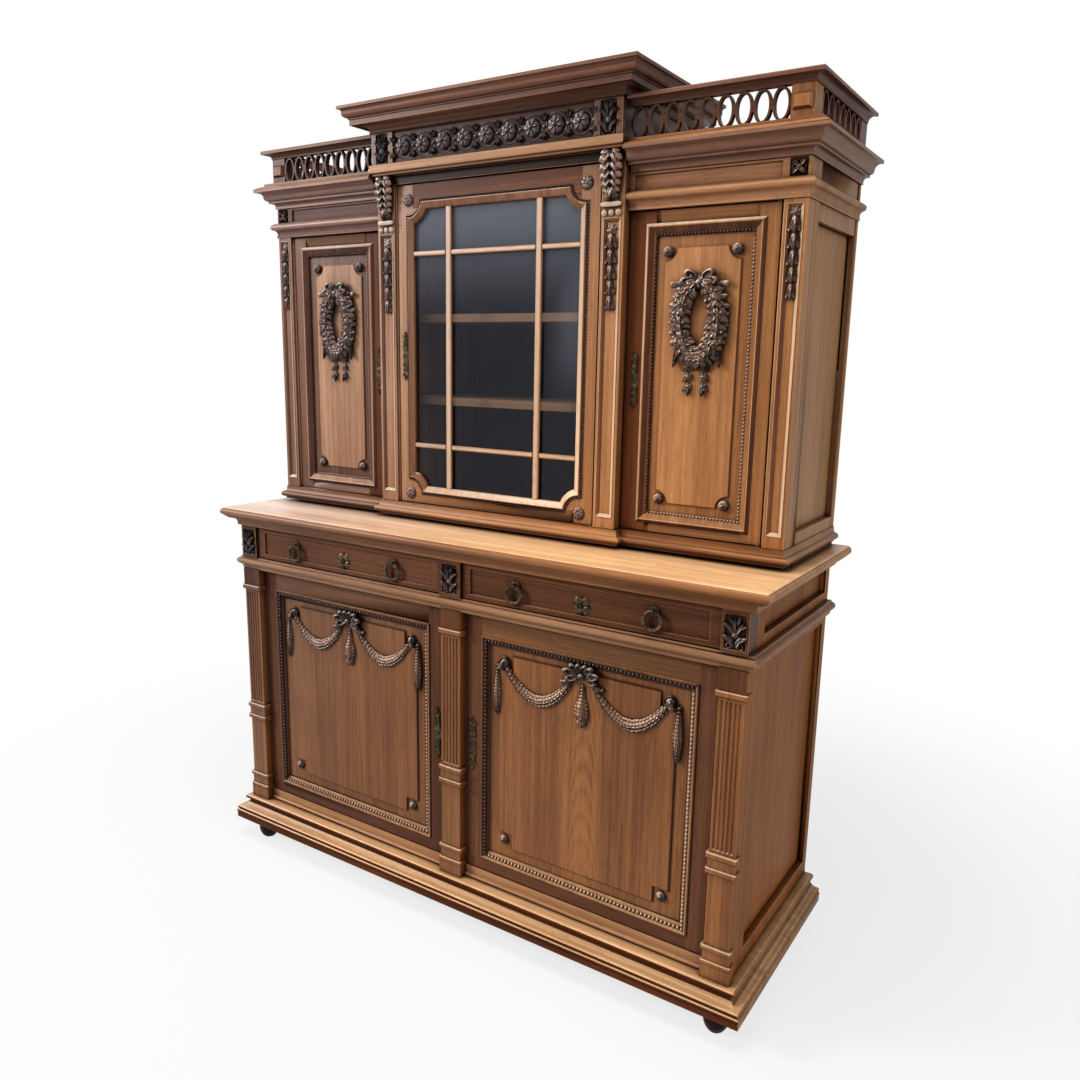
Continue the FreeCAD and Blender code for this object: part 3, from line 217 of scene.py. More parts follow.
def walnut(name, pale, deep, shine=0.4, figure=1, flame_x=None, polish=0.14, cool=1):
    """Varnished walnut: broad soft bands, fine fibres, pores, painted shade in hollows and corners, a painted cool
    light, and an arched flame where one is asked.
    """
    f = new_finish(name)
    grain, tone = f.mark(GRAIN_MARK, "Vector"), f.mark(TONE_MARK, "Fac")
    drift = f.fibres(grain, 0.06, 6, 2, 0.3)
    rings = f.wave(drift * 7)
    streak = f.fibres(grain, 0.02, 100, 3)
    fibre = f.fibres(grain, 0.03, 420, 3)
    pores = f.fibres(grain, 0.05, 560, 1).clipped(0.57, 0.7)
    patch = f.noise(f.place(), 2.2, 2)
    mix = rings * (0.3 * figure) + streak * 0.95 + fibre * 0.6 + patch * 0.6 + tone * 0.14 - 0.66 - 0.14 * figure
    if flame_x is not None:
        off = f.split(f.place(), "X") - flame_x
        off = off + (drift - 0.5) * 0.06
        arch = f.wave(off * off * 2600 + f.split(f.place(), "Z") * 30 + drift * 2)
        mix = mix + (1 - f.sum("ABSOLUTE", off).clipped(0.012, 0.065)) * (0.06 + arch * 0.34)
    # The cool share paints a cooler light upwards and to the left
    wood = f.cooled(f.blend(mix.clipped(0, 1), rgb(*deep), rgb(*pale)), cool)
    wood = f.dimmed(pores * 0.42, wood, PORE)
    # Painted shade: darker in broad corners and recesses, darker still in tight hollows and joints
    wood = f.dimmed(1 - f.hollows(0.08).clipped(0.3, 1), wood, SHADE)
    open_ = f.hollows(0.013).clipped(0.25, 0.9)
    wood = f.dimmed(1 - open_, wood, HOLLOW_SHADE)
    rough = shine - 0.1 + streak * 0.16 + (1 - open_) * 0.2
    bump = f.bump(streak * 0.4 - pores * 0.6, 0.1, 0.0005)
    return f.paint(Base_Color=wood, Roughness=rough, Normal=bump, Specular_IOR_Level=polish)


# The way the carvings' painted light comes from: up, to the left and to the front
PAINTED_LIGHT_FROM = (-0.57, -0.48, 0.66)


def carved(name, body, lit, glint, rub_and_glint=(0.58, 0.97)):
    """Waxed carving with painted light: near-black painted shade in hollows, its dark body colour on undersides, and a
    painted lit colour and glints where it faces up and to the left.
    """
    f = new_finish(name)
    patch = f.noise(f.place(), 60, 2)
    fibre = f.fibres(f.place(), 0.15, 420)
    deep = f.hollows(0.009).clipped(0.4, 0.95)
    broad = f.hollows(0.03).clipped(0.25, 0.85)
    # Painted light: faces turned towards it get the lit colour and, the most turned, a glint; open patches more than
    # hollows
    facing = f.node("ShaderNodeNewGeometry", None, None, "Normal")
    toward = f.node("ShaderNodeVectorMath", {"operation": "DOT_PRODUCT"}, {0: facing, 1: PAINTED_LIGHT_FROM}, "Value")
    worn = (patch * 0.4 + fibre * 0.2 + broad * 0.5).clipped(0.4, 0.95)
    wood = f.blend(worn * toward.clipped(-0.5, 0.75), rgb(*body), rgb(*lit))
    wood = f.blend(deep * toward.clipped(*rub_and_glint) * (0.3 + worn * 0.7), wood, rgb(*glint))
    # Painted shade: hollows go near black; the colour is also painted a cooler light upwards and to the left
    wood = f.blend(1 - deep, f.cooled(wood, 0.4), rgb(14, 8, 6))
    rough = 0.14 + patch * 0.12 + (1 - deep) * 0.3
    bump = f.bump(fibre, 0.12, 0.0004)
    return f.paint(Base_Color=wood, Roughness=rough, Normal=bump, Specular_IOR_Level=WAX)


def inner_wood(name, pale, deep):
    """Plain dry boards inside and behind."""
    f = new_finish(name)
    grain, tone = f.mark(GRAIN_MARK, "Vector"), f.mark(TONE_MARK, "Fac")
    streak = f.fibres(grain, 0.03, 90, 4)
    stain = f.noise(f.place(), 4, 3)
    wood = f.blend((streak * 0.7 + stain * 0.4 + tone * 0.3 - 0.2).clipped(0.1, 0.9), rgb(*deep), rgb(*pale))
    # Painted shade in the boards' corners and hollows
    wood = f.dimmed(1 - f.hollows(0.05).clipped(0.1, 0.9), wood, DUSK)
    return f.paint(Base_Color=wood, Roughness=0.62 + streak * 0.2, Normal=f.bump(streak, 0.2, 0.0008))


def old_brass(name):
    """Patinated brass: dark olive with bright spots of wear."""
    f = new_finish(name)
    patch = f.noise(f.place(), 90, 3, 0.4)
    speck = f.noise(f.place(), 600, 2)
    rub_and_glint = (patch * 0.8 + speck * 0.3).clipped(0.5, 0.78)
    metal = f.blend(rub_and_glint, rgb(54, 45, 32), rgb(116, 95, 62))
    open_ = f.hollows(0.006).clipped(0.2, 0.8)
    metal = f.blend(1 - open_, metal, rgb(28, 22, 16))
    return f.paint(Base_Color=metal, Metallic=0.85, Roughness=0.5 - rub_and_glint * 0.16, Normal=f.bump(speck, 0.1, 0.0003))


def dull_steel(name):
    """Old pivot steel."""
    f = new_finish(name)
    patch = f.noise(f.place(), 200, 3)
    return f.paint(Base_Color=f.blend(patch, rgb(80, 76, 70), rgb(120, 116, 110)), Metallic=0.9,
                   Roughness=0.4 + patch * 0.2)


# Heights and places of the painted reflection and sheen on the panes
REFLECTION_FROM, REFLECTION_TO = 1.5, 1.95
SHEEN_X, SHEEN_Z, SHEEN = (0.15, 0.24), (1.38, 1.6), 0.4


def window_glass(name):
    """A dark pane, mostly clear, with a painted reflection that grows upwards and a painted sheen on its right."""
    f = new_finish(name)
    dust = f.noise(f.place(), 14, 3)
    up, across = f.split(f.place(), "Z"), f.split(f.place(), "X")
    sheen = across.clipped(*SHEEN_X) * up.clipped(*SHEEN_Z) * SHEEN
    reflection = f.sum("MAXIMUM", up.clipped(REFLECTION_FROM, REFLECTION_TO) ** 2, sheen)
    pane = f.blend(reflection, f.blend(dust, rgb(8, 10, 24), rgb(16, 19, 38)), rgb(143, 148, 161))
    return f.paint(Base_Color=pane, Roughness=0, Alpha=0.2, Specular_IOR_Level=0.7)


# Walnut, by its tone or by the place that it was mixed for; many are lighter or darker copies that paint light and
# shade there
WALNUT = walnut("walnut", (154, 100, 58), (104, 62, 34))
FLAMED = walnut("flamed_walnut", (149, 96, 56), (97, 59, 33), 0.4, 0.6, 0.4)
# A darker copy: painted shade on the left side; the lower doors' top rails use it too
LEFT = walnut("left_panel_walnut", (142, 93, 56), (95, 58, 33))
# A darker copy: painted shade on the left wing panel's margin, the fretwork's edges and the dark side of the pilaster
# edges; also the crown frieze and the plain faces of the lower mouldings
FRAME = walnut("frame_walnut", (128, 80, 48), (82, 48, 28))
# A darker copy still: painted shade on undersides, under the waist and the counter, round the raised fields, on the
# fretwork and on the dark side of mouldings; also the frieze blocks and the crown's ground
DARK = walnut("dark_walnut", (106, 64, 40), (66, 38, 25), polish=0.06)
SIDE = walnut("side_walnut", (168, 106, 55), (118, 70, 34), polish=0.02)
HIGH = walnut("high_walnut", (160, 114, 87), (112, 78, 59), polish=0.1, cool=0.6)
CROWN = walnut("crown_walnut", (126, 85, 66), (86, 57, 44), polish=0.08, cool=0)
PLINTH = walnut("plinth_walnut", (105, 56, 31), (65, 34, 19), polish=0.02)
# Painted shade on the wing doors' inner stiles, in the centre pilasters' shadow
INNER_STILE_SHADE = walnut("inner_stile_shade_walnut", (122, 69, 37), (79, 42, 22), polish=0.04)
# Painted shade on the glazed door's top rail, under the crown
TOP_RAIL_SHADE = walnut("top_rail_shade_walnut", (140, 90, 62), (92, 56, 38), polish=0.05, cool=0.5)
# A darker copy: painted shade on the lower door frames and the left drawer front
LOWER_SHADE = walnut("lower_shade_walnut", (117, 74, 51), (75, 46, 32), polish=0.05, cool=0.2)
SHADED = walnut("shaded_walnut", (106, 64, 42), (67, 39, 27), polish=0.05)
HONEY = walnut("honey_walnut", (168, 112, 66), (118, 74, 40))
GOLDEN = walnut("golden_walnut", (190, 132, 82), (138, 90, 53))
# A lighter copy: painted light on faces turned to the right, on the upper sides and on lit bands
LIT_WALNUT = walnut("lit_walnut", (188, 141, 98), (142, 102, 67), polish=0.03, cool=0.4)
FRIEZE = walnut("frieze_walnut", (184, 132, 96), (138, 94, 65), polish=0.03, cool=0.4)
# A darker, cooler copy: painted shade on the left wing frieze
LEFT_FRIEZE = walnut("left_frieze_walnut", (144, 100, 78), (103, 69, 53), polish=0.03, cool=0.8)
# Painted highlight on the left astragal, dimmer than on the right
LEFT_EDGE = walnut("left_edge_walnut", (186, 134, 98), (142, 96, 66), 0.34, 0.4)
WAIST = walnut("waist_walnut", (166, 122, 90), (124, 87, 61), polish=0.03, cool=0.4)
# A pale copy: painted light on the tops of the counter and the plinth
TOP_LIGHT = walnut("top_light_walnut", (238, 194, 146), (190, 142, 96), 0.36, 1.2)
# Eased edges showing wear, with a painted highlight; also the right astragal and the lower floor
EDGE = walnut("worn_walnut_edge", (190, 140, 97), (146, 100, 64), 0.34, 0.4, cool=0.4)
# A pale copy: painted highlights on the glazing bars, the corbel balls, the pilaster rings' upper faces and the lit
# side of mouldings
HIGHLIT = walnut("highlit_walnut", (216, 182, 148), (178, 144, 110), 0.34, 0.4, cool=0.6)
# Painted light on the shelf fronts behind the glass
SHELF = walnut("shelf_edge_walnut", (226, 184, 146), (196, 154, 118), 0.5, 0.4, cool=0)
# Near-black walnut on the bun feet, and as painted shadow along the foot of the crown frieze
BLACK = walnut("near_black_walnut", (62, 41, 32), (37, 25, 19), 0.4, 0.5, polish=0.05, cool=0)
# Carvings: a body colour, then a painted lit colour and a painted glint, and the facing that takes the glint
CARVED = carved("carved_walnut", (34, 24, 19), (112, 80, 62), (204, 175, 157), (0.55, 0.94))
BOW_CARVED = carved("bow_carving", (28, 20, 16), (72, 51, 41), (178, 152, 136))
SHADED_CARVED = carved("shaded_carving", (24, 16, 13), (58, 40, 31), (104, 78, 64))
COPPER_CARVED = carved("copper_carving", (44, 28, 20), (120, 80, 54), (214, 174, 142))
BRIGHT_CARVED = carved("bright_carving", (44, 31, 25), (150, 110, 86), (212, 184, 164), (0.5, 0.93))
DARK_CARVED = carved("dark_carving", (40, 32, 29), (130, 104, 93), (200, 180, 170), (0.48, 0.92))
INNER = inner_wood("inner_boards", (132, 98, 68), (84, 58, 40))
LINING = inner_wood("dark_lining", (24, 27, 50), (14, 16, 34))
BRASS = old_brass("patinated_brass")
STEEL = dull_steel("pivot_steel")
GLASS = window_glass("cupboard_glass")


# Workbench

def clear():
    """Nothing selected, nothing active."""
    bpy.ops.object.select_all(action="DESELECT")


def take(piece):
    """Only this piece selected and active."""
    clear()
    piece.select_set(True)
    bpy.context.view_layer.objects.active = piece


def mark_all(action="SELECT"):
    """Selects all points in edit mode, or none."""
    bpy.ops.mesh.select_all(action=action)


def discard(*pieces):
    for piece in pieces:
        bpy.data.objects.remove(piece)


@contextmanager
def bench(piece):
    """Edit mode on one piece, with nothing selected."""
    take(piece)
    bpy.ops.object.mode_set(mode="EDIT")
    mark_all("DESELECT")
    yield
    bpy.ops.object.mode_set(mode="OBJECT")


def apply(piece, kind, **settings):
    """Adds a modifier and applies it."""
    take(piece)
    modifier = piece.modifiers.new(kind.lower(), kind)
    for key, value in settings.items():
        setattr(modifier, key, value)
    bpy.ops.object.modifier_apply(modifier=modifier.name)


def smooth(piece, degrees=38):
    take(piece)
    bpy.ops.object.shade_smooth_by_angle(angle=math.radians(degrees))


def mark_grain(piece, rail=None):
    """Lays the grain along each board's longest way, across in rails, and gives each board its own tone."""
    mesh = piece.data
    work = bmesh.new()
    work.from_mesh(mesh)
    work.verts.ensure_lookup_table()
    ways = [None] * len(work.verts)
    seen = set()
    for start in work.verts:
        if start.index in seen:
            continue
        board, queue = [], [start]
        seen.add(start.index)
        while queue:
            vert = queue.pop()
            board.append(vert)
            for edge in vert.link_edges:
                other = edge.other_vert(vert)
                if other.index not in seen:
                    seen.add(other.index)
                    queue.append(other)
        size = [max(v.co[i] for v in board) - min(v.co[i] for v in board) for i in range(3)]
        shift = Vector([draw.uniform(0, 20) for _ in range(3)])
        way = (size.index(max(size)), shift, draw.uniform(-0.5, 0.5))
        for vert in board:
            ways[vert.index] = way
    work.free()
    grain, tones = [], []
    for face in mesh.polygons:
        in_rail = rail is not None and rail(face.center)
        for index in face.vertices:
            along, shift, tone = ways[index]
            if in_rail:
                along, tone = 0, tone - RAIL_TONE
            spot = mesh.vertices[index].co
            grain += [spot[i] + shift[i] for i in range(3) if i != along] + [spot[along] + shift[along]]
            tones.append(tone)
    mesh.attributes.new(GRAIN_MARK, "FLOAT_VECTOR", "CORNER").data.foreach_set("vector", grain)
    mesh.attributes.new(TONE_MARK, "FLOAT", "CORNER").data.foreach_set("value", tones)


def new_piece(name, mesh):
    piece = bpy.data.objects.new(name, mesh)
    bpy.context.scene.collection.objects.link(piece)
    return piece


def finish_piece(piece, body, slot, *nodes):
    """Puts a finished piece on its body, in place of the plain nodes."""
    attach(piece, body)
    if nodes:
        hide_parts(*nodes)
    return piece


ARRIS = 0.9 * MM
BEVEL = 3.4 * MM
BACK_BOARDS, BACK_TOP, BOARD_EDGE = 5, 2003, 1.5 * MM
LINING_HALF = 349


def close_seams():
    """Merges the selected points that lie on each other."""
    bpy.ops.mesh.remove_doubles(threshold=0.01 * MM)


def part_boards():
    """Closes each upright back board by itself, so that the joints between them stay."""
    corners = [vert.co for vert in bpy.context.object.data.vertices]
    left, right = min(c.x for c in corners), max(c.x for c in corners)
    step = (right - left) / BACK_BOARDS

    def inside(vert):
        face = vert.link_faces[0]
        return face.calc_center_median() - face.normal * MM

    for board in range(BACK_BOARDS):
        start = left + board * step
        pick(lambda c: c.z < BACK_TOP * MM and start < c.x < start + step, inside)
        close_seams()
    pick(lambda c: c.z > BACK_TOP * MM, inside)
    close_seams()


@contextmanager
def part_bench(piece, merge=close_seams):
    """Edit mode on the copy of a plain part, with its seams closed."""
    with bench(piece):
        bpy.ops.mesh.customdata_custom_splitnormals_clear()
        mark_all()
        merge()
        yield


def plain_copy(node, name):
    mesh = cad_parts[node].data.copy()
    mesh.materials.clear()
    return new_piece(name, mesh)


def handed(opening, way):
    """A right-hand opening, or its left-hand twin."""
    left, right, low, top = opening
    return opening if way > 0 else (-right, -left, low, top)


def dressed(node, body, slot, material, arris=ARRIS, accents=(), shape=None, worn=None, light=None,
            merge=close_seams, rounding=None):
    """A copy of a plain part with its edges eased in a second finish, by default edges showing wear with a painted
    highlight; accents give some faces another finish, mostly painted light and shade by place and by facing.

    Light is the opening of a frame, left, right, low and top, whose rails and stiles are sawn apart."""
    piece = plain_copy(node, f"{node}_finished")
    mesh = piece.data
    with part_bench(piece, merge):
        if shape:
            shape()
        mark_all()
        bpy.ops.mesh.dissolve_limited(angle_limit=math.radians(0.4))
        if rounding:
            rounding()
        for edge in light[:2] if light else ():
            mark_all()
            bpy.ops.mesh.bisect(plane_co=(edge * MM, 0, 0), plane_no=(1, 0, 0))
    # The eased edges' finish: wear with a painted highlight, unless another is given
    worn = worn or (EDGE if slot == "walnut" and material is not BLACK else material)
    for finish in (material, worn) + tuple(finish for finish, _ in accents):
        mesh.materials.append(finish)
    for face in mesh.polygons:
        face.material_index = 0
        for index, (_, test) in enumerate(accents):
            if test(face.center, face.normal):
                face.material_index = 2 + index
    if arris:
        apply(piece, "BEVEL", width=arris, segments=2, limit_method="ANGLE", angle_limit=math.radians(38),
              material=1)
    smooth(piece)
    if arris:
        apply(piece, "WEIGHTED_NORMAL", keep_sharp=True)
    mark_grain(piece, light and (lambda c: light[0] * MM < c.x < light[1] * MM
                                 and not light[2] * MM < c.z < light[3] * MM))
    return finish_piece(piece, body, slot, node)


# Carver's marks used in edit mode

def pick(test, by=lambda vert: vert.co):
    """Selects the edited points that pass a test, by their place or another mark."""
    mesh = bpy.context.object.data
    work = bmesh.from_edit_mesh(mesh)
    for vert in work.verts:
        vert.select_set(test(by(vert)))
    work.select_flush(True)
    bmesh.update_edit_mesh(mesh)


def widen(value, about=(0, 0, 0)):
    bpy.ops.transform.resize(value=value, center_override=about)


def push(value):
    bpy.ops.transform.translate(value=value)


# Case and doors: plain joinery with eased edges, and finishes by place and by facing that paint light and shade

LOWER_FACE, WING_FACE, GLAZED_FACE = -245, -75, -95
CROWN_FACE, CROWN_Z = -118, 2065


def top_faces(centre, normal):
    return normal.z > 0.8


def right_faces(centre, normal):
    return normal.x > 0.8


def front_faces(centre, normal):
    return normal.y < -0.8


def band(low, high, before):
    """Tests for faces of a band between two heights, standing before a given depth, which is painted lit."""
    return lambda c, n: low * MM <= c.z <= high * MM and c.y < before * MM


def crown_ground(centre, normal):
    """The sunk ground behind the crown's rosettes and plaques."""
    return normal.y < -0.8 and abs(centre.y - CROWN_FACE * MM) < MM and abs(centre.z - CROWN_Z * MM) < 45 * MM


LOWER_OPENING = (89, 684, 213, 830)
WING_OPENING = (460, 684, 1182, 1808)
GLAZED_OPENING = (-262, 262, 1170, 1914)
WING_PLAIN = (432, 712, 1154, 1836)
WING_MOULD = (425, 712.5, 1144, 1837)
WING_BED = 9
PANEL_SET = 11


def press_lower_bead():
    """Presses the plain bead of a lower door down to its panel, as a bed for the moulding."""
    left, right, low, top = (edge * MM for edge in LOWER_OPENING)
    bed = (LOWER_FACE + PANEL_SET - 0.6) * MM
    pick(lambda c: c.y < bed and left + ARRIS < abs(c.x) < right - ARRIS and low + ARRIS < c.z < top - ARRIS)
    widen((1, 0, 1), (0, bed, 0))


def sink_wing_mould():
    """Sinks the plain moulding of a wing door behind its panel, as a bed for the new one."""
    left, right, low, top = (edge * MM for edge in WING_PLAIN)
    bed = (WING_FACE + WING_BED) * MM
    pick(lambda c: c.y < (WING_FACE - 0.3) * MM
         or c.y < bed - 2 * MM and left + MM < abs(c.x) < right - MM and low + MM < c.z < top - MM)
    widen((1, 0, 1), (0, bed, 0))


PILASTER_RINGS = ((176, 188), (213, 225), (405, 419), (442, 456), (824, 838))
RING_FACE, RING_ROUND = -272, 4


def round_rings():
    """Rounds the front of the rings round the lower pilasters."""
    for low, high in PILASTER_RINGS:
        mark_all("DESELECT")
        pick(lambda c: c.y < RING_FACE * MM + ARRIS and low * MM - ARRIS < c.z < high * MM + ARRIS)
        bpy.ops.mesh.bevel(offset=RING_ROUND * MM, segments=3)


FRET_FACE, FRET_SIDE, FRET_HALF, FRET_DEEPER = -94, 802, 4, 6
WING_GROUND = -69.5
POST_FROM, POST_TOP = 740, 2086


def deepen_fretwork():
    """Makes the pierced ovals deeper towards the inside of the galleries."""
    behind = (FRET_FACE + FRET_HALF) * MM
    pick(lambda c: behind < c.y < behind + 2 * FRET_HALF * MM)
    push((0, FRET_DEEPER * MM, 0))
    inside = (FRET_SIDE - FRET_HALF) * MM
    for _, way in SIDES:
        pick(lambda c: inside - 2 * FRET_HALF * MM < way * c.x < inside)
        push((-way * FRET_DEEPER * MM, 0, 0))


def right_post(centre):
    """The post at the outer corner of the right gallery."""
    return centre.x > POST_FROM * MM and centre.y < 0 and centre.z < POST_TOP * MM


def case_wood(node, *finish, **work):
    dressed(node, "case", "walnut", *finish, **work)


def side_wood(body, part, side, *finish, **work):
    dressed(f"{body}_{part}_{side}", f"{body}_{side}", "walnut", *finish, **work)


def case_boards(node, *finish, **work):
    dressed(node, "case", "inner_boards", INNER, *finish, **work)


OUTER_FROM, CENTRE_HALF, WING_FROM = 300, 400, 500
ASTRAGAL = band(1888, 1906, -85)
CROWN_BAND = band(2008, 2027, -124)
CROWN_SHADOW, CORNICE_TOP, TOP_RAIL_FROM = 2000, 2000.5, 1916
FINE, SOFT = 0.5 * MM, 1.8 * MM
FRET_EASE, COUNTER_EASE, BAR_EASE = 0.6 * MM, 1.2 * MM, 3.2 * MM

case_wood("lower_divider", WALNUT)
case_wood("upper_partitions", WALNUT)
case_wood("lower_floor", EDGE)
case_wood("waist_moulding", WAIST)
# Painted light on the upper base's right faces and in its middle
case_wood("upper_base", WALNUT, ARRIS, ((LIT_WALNUT, right_faces), (GOLDEN, lambda c, n: abs(c.x) < CENTRE_HALF * MM)))
# Painted shade on the left pilaster, under the waist and on undersides; painted highlights on faces that turn up
case_wood("lower_pilasters", WALNUT, SOFT,
          ((LEFT, lambda c, n: c.x < OUTER_FROM * MM), (DARK, lambda c, n: c.z > PILASTER_RINGS[-1][1] * MM),
           (SIDE, right_faces), (DARK, lambda c, n: n.z < -0.3), (HIGHLIT, lambda c, n: n.z > 0.3)),
          rounding=round_rings)
# Painted light on the right gallery post
case_wood("gallery_rails", CROWN, ARRIS,
          ((HONEY, lambda c, n: right_post(c) and n.y < -0.5), (LIT_WALNUT, lambda c, n: right_post(c) and n.x > 0.5)))
case_wood("lower_sides", SIDE)
# The upper sides are painted lit
case_wood("upper_sides", LIT_WALNUT)
# Painted light on right faces, painted highlight on the astragal, painted shade on the left
case_wood("wing_friezes", FRIEZE, ARRIS,
          ((LIT_WALNUT, right_faces), (LEFT_FRIEZE, lambda c, n: c.x < 0), (EDGE, ASTRAGAL),
           (LEFT_EDGE, lambda c, n: c.x < 0 and ASTRAGAL(c, n))))
case_wood("frieze_blocks", DARK)
case_wood("crown_cornice", CROWN)
# Painted light on the plinth's tops and right faces
case_wood("plinth", PLINTH, ARRIS, ((TOP_LIGHT, lambda c, n: n.z > 0.5), (LIT_WALNUT, lambda c, n: n.x > 0.5)))
# Painted shade on the left wing pilaster, lighter copies for the middle and the right, painted light on right faces
case_wood("upper_pilasters", WALNUT, SOFT,
          ((LEFT, lambda c, n: c.x < 0), (HONEY, lambda c, n: c.x > WING_FROM * MM),
           (GOLDEN, lambda c, n: abs(c.x) < WING_FROM * MM), (LIT_WALNUT, lambda c, n: n.x > 0.8 and c.x > WING_FROM * MM)))
case_wood("bun_feet", BLACK, 0)
# The fretwork and its edges darkened as painted shade
case_wood("gallery_fretwork", DARK, FRET_EASE, shape=deepen_fretwork, worn=FRAME)
# Painted light on the counter's top and right faces
case_wood("counter_top", WALNUT, COUNTER_EASE, ((TOP_LIGHT, top_faces), (LIT_WALNUT, right_faces)))
# Painted light on the crown band, a dark ground behind the rosettes, and painted shadow along its foot
case_wood("crown_frieze", FRAME, ARRIS,
          ((LIT_WALNUT, CROWN_BAND), (DARK, crown_ground), (BLACK, lambda c, n: c.z < CROWN_SHADOW * MM)))
case_wood("wing_cornices", HIGH, ARRIS, ((HONEY, lambda c, n: c.z > CORNICE_TOP * MM),))
for name in ("lower_shelves", "drawer_runners", "upper_roof"):
    case_boards(name, FINE)
# Painted light on the shelf fronts
case_boards("upper_shelves", FINE, ((SHELF, front_faces),))
case_boards("lower_back", BOARD_EDGE, merge=part_boards)
case_boards("upper_back", BOARD_EDGE, ((LINING, lambda c, n: n.y < -0.8 and abs(c.x) < LINING_HALF * MM),),
            light=(-LINING_HALF, LINING_HALF, 0, BACK_TOP), merge=part_boards)
for side, way in SIDES:
    # Right and left copies: lighter ones paint light on the right, darker ones shade on the left; both drawer fronts
    # are darkened as painted shade under the counter
    panel, stiles, ground, drawer = (FLAMED, HONEY, HONEY, DARK) if side == "right" else (LEFT, LEFT, FRAME, LOWER_SHADE)
    # Lower door frames darkened as painted shade, their top rails less so
    side_wood("lower_door", "frame", side, LOWER_SHADE, ARRIS,
              ((LEFT, lambda c, n: c.z > LOWER_OPENING[3] * MM),), press_lower_bead, light=handed(LOWER_OPENING, way))
    # The edges of the raised fields darkened as painted shade
    side_wood("lower_door", "panel", side, panel, BEVEL, worn=DARK)
    # Painted shade on the wing doors' inner stiles
    side_wood("wing_door", "frame", side, stiles, ARRIS,
              ((INNER_STILE_SHADE, lambda c, n: n.y < -0.8 and abs(c.x) < WING_OPENING[0] * MM),), sink_wing_mould,
              light=handed(WING_OPENING, way))
    # The ground round the wing field darkened as painted shade, more on the left
    side_wood("wing_door", "panel", side, GOLDEN, BEVEL, ((ground, lambda c, n: c.y > WING_GROUND * MM),), worn=WALNUT)
    side_wood("drawer", "front", side, drawer)
    dressed(f"drawer_box_{side}", f"drawer_{side}", "inner_boards", INNER, FINE)
# Painted shade on the glazed door's top rail
dressed("centre_door_frame", "centre_door", "walnut", GOLDEN, ARRIS,
        ((TOP_RAIL_SHADE, lambda c, n: c.z > TOP_RAIL_FROM * MM),), light=GLAZED_OPENING)
# Glazing bars in the pale finish of painted highlights
dressed("glazing_bars", "centre_door", "walnut", HIGHLIT, BAR_EASE)


def coat(node, material):
    """A plain part that shows as it is."""
    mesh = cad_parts[node].data
    mesh.materials.clear()
    mesh.materials.append(material)


coat("hinge_pivots", STEEL)
coat("centre_door_glass", GLASS)
for side, _ in SIDES:
    for name in ("pull_ring_inner", "pull_ring_outer"):
        coat(f"{name}_{side}", BRASS)


# Carver's shapes: each is cut once, standing on the XZ plane, its front towards -Y and its tip towards +Z

NEAR = 0.02
UPRIGHT = (math.pi / 2, 0, 0)


def settle(name):
    """Names the new primitive and moves its place into its mesh."""
    piece = bpy.context.object
    piece.name = name
    bpy.ops.object.transform_apply(location=True, rotation=True, scale=True)
    return piece


def cut_leaf(name, widths, rises, vein=0.72, rim=0.12, rounds=0):
    """A leaf one unit long and wide: each row gets its width and rise, the rim lies low and the vein is sunk."""
    rows = len(widths) - 1
    clear()
    bpy.ops.mesh.primitive_grid_add(x_subdivisions=4, y_subdivisions=rows, size=1, location=(0, 0, 0.5),
                                    rotation=UPRIGHT)
    leaf = settle(name)
    with bench(leaf):
        for row, rise in enumerate(rises):
            pick(lambda c: abs(c.z - row / rows) < NEAR)
            push((0, -rise, 0))
        pick(lambda c: abs(c.x) > 0.5 - NEAR)
        widen((1, rim, 1))
        pick(lambda c: abs(c.x) < NEAR)
        widen((1, vein, 1))
        for row, width in enumerate(widths):
            pick(lambda c: abs(c.z - row / rows) < NEAR)
            widen((width, 1, 1), (0, 0, row / rows))
    apply(leaf, "SOLIDIFY", thickness=0.16, offset=-1)
    if rounds:
        apply(leaf, "SUBSURF", levels=rounds, render_levels=rounds)
    smooth(leaf, 70)
    return leaf


def cut_pearl(name, segments, rings):
    """A half ball one unit across, a little flattened at its top."""
    clear()
    bpy.ops.mesh.primitive_uv_sphere_add(segments=segments, ring_count=rings, radius=0.5, rotation=UPRIGHT)
    pearl = settle(name)
    with bench(pearl):
        mark_all()
        bpy.ops.mesh.bisect(plane_co=(0, 0, 0), plane_no=(0, 1, 0), use_fill=True, clear_outer=True)
        pick(lambda c: c.y < -0.4)
        push((0, 0.02, 0))
        mark_all()
        bpy.ops.mesh.remove_doubles(threshold=0.001)
        widen((1, 2, 1))
    smooth(pearl, 50)
    return pearl


def cut_block(name, at, size, ease, segments, shape=None):
    """A block with rounded edges."""
    clear()
    bpy.ops.mesh.primitive_cube_add(size=1, location=at, scale=size)
    block = settle(name)
    with bench(block):
        if shape:
            shape()
    apply(block, "BEVEL", width=ease, segments=segments)
    smooth(block, 60)
    return block


def cut_loop(name, pinch, bore=0.13, segments=20):
    """A ribbon loop one unit long, pinched at its foot."""
    clear()
    bpy.ops.mesh.primitive_torus_add(major_segments=segments, minor_segments=8, major_radius=0.5 - bore,
                                     minor_radius=bore, location=(0, 0, 0.5), rotation=UPRIGHT)
    loop = settle(name)
    with bench(loop):
        pick(lambda c: c.z < 0.3)
        widen((pinch, 0.7, 1))
        mark_all()
        widen((1, 0.5 / bore, 1))
    smooth(loop, 70)
    return loop


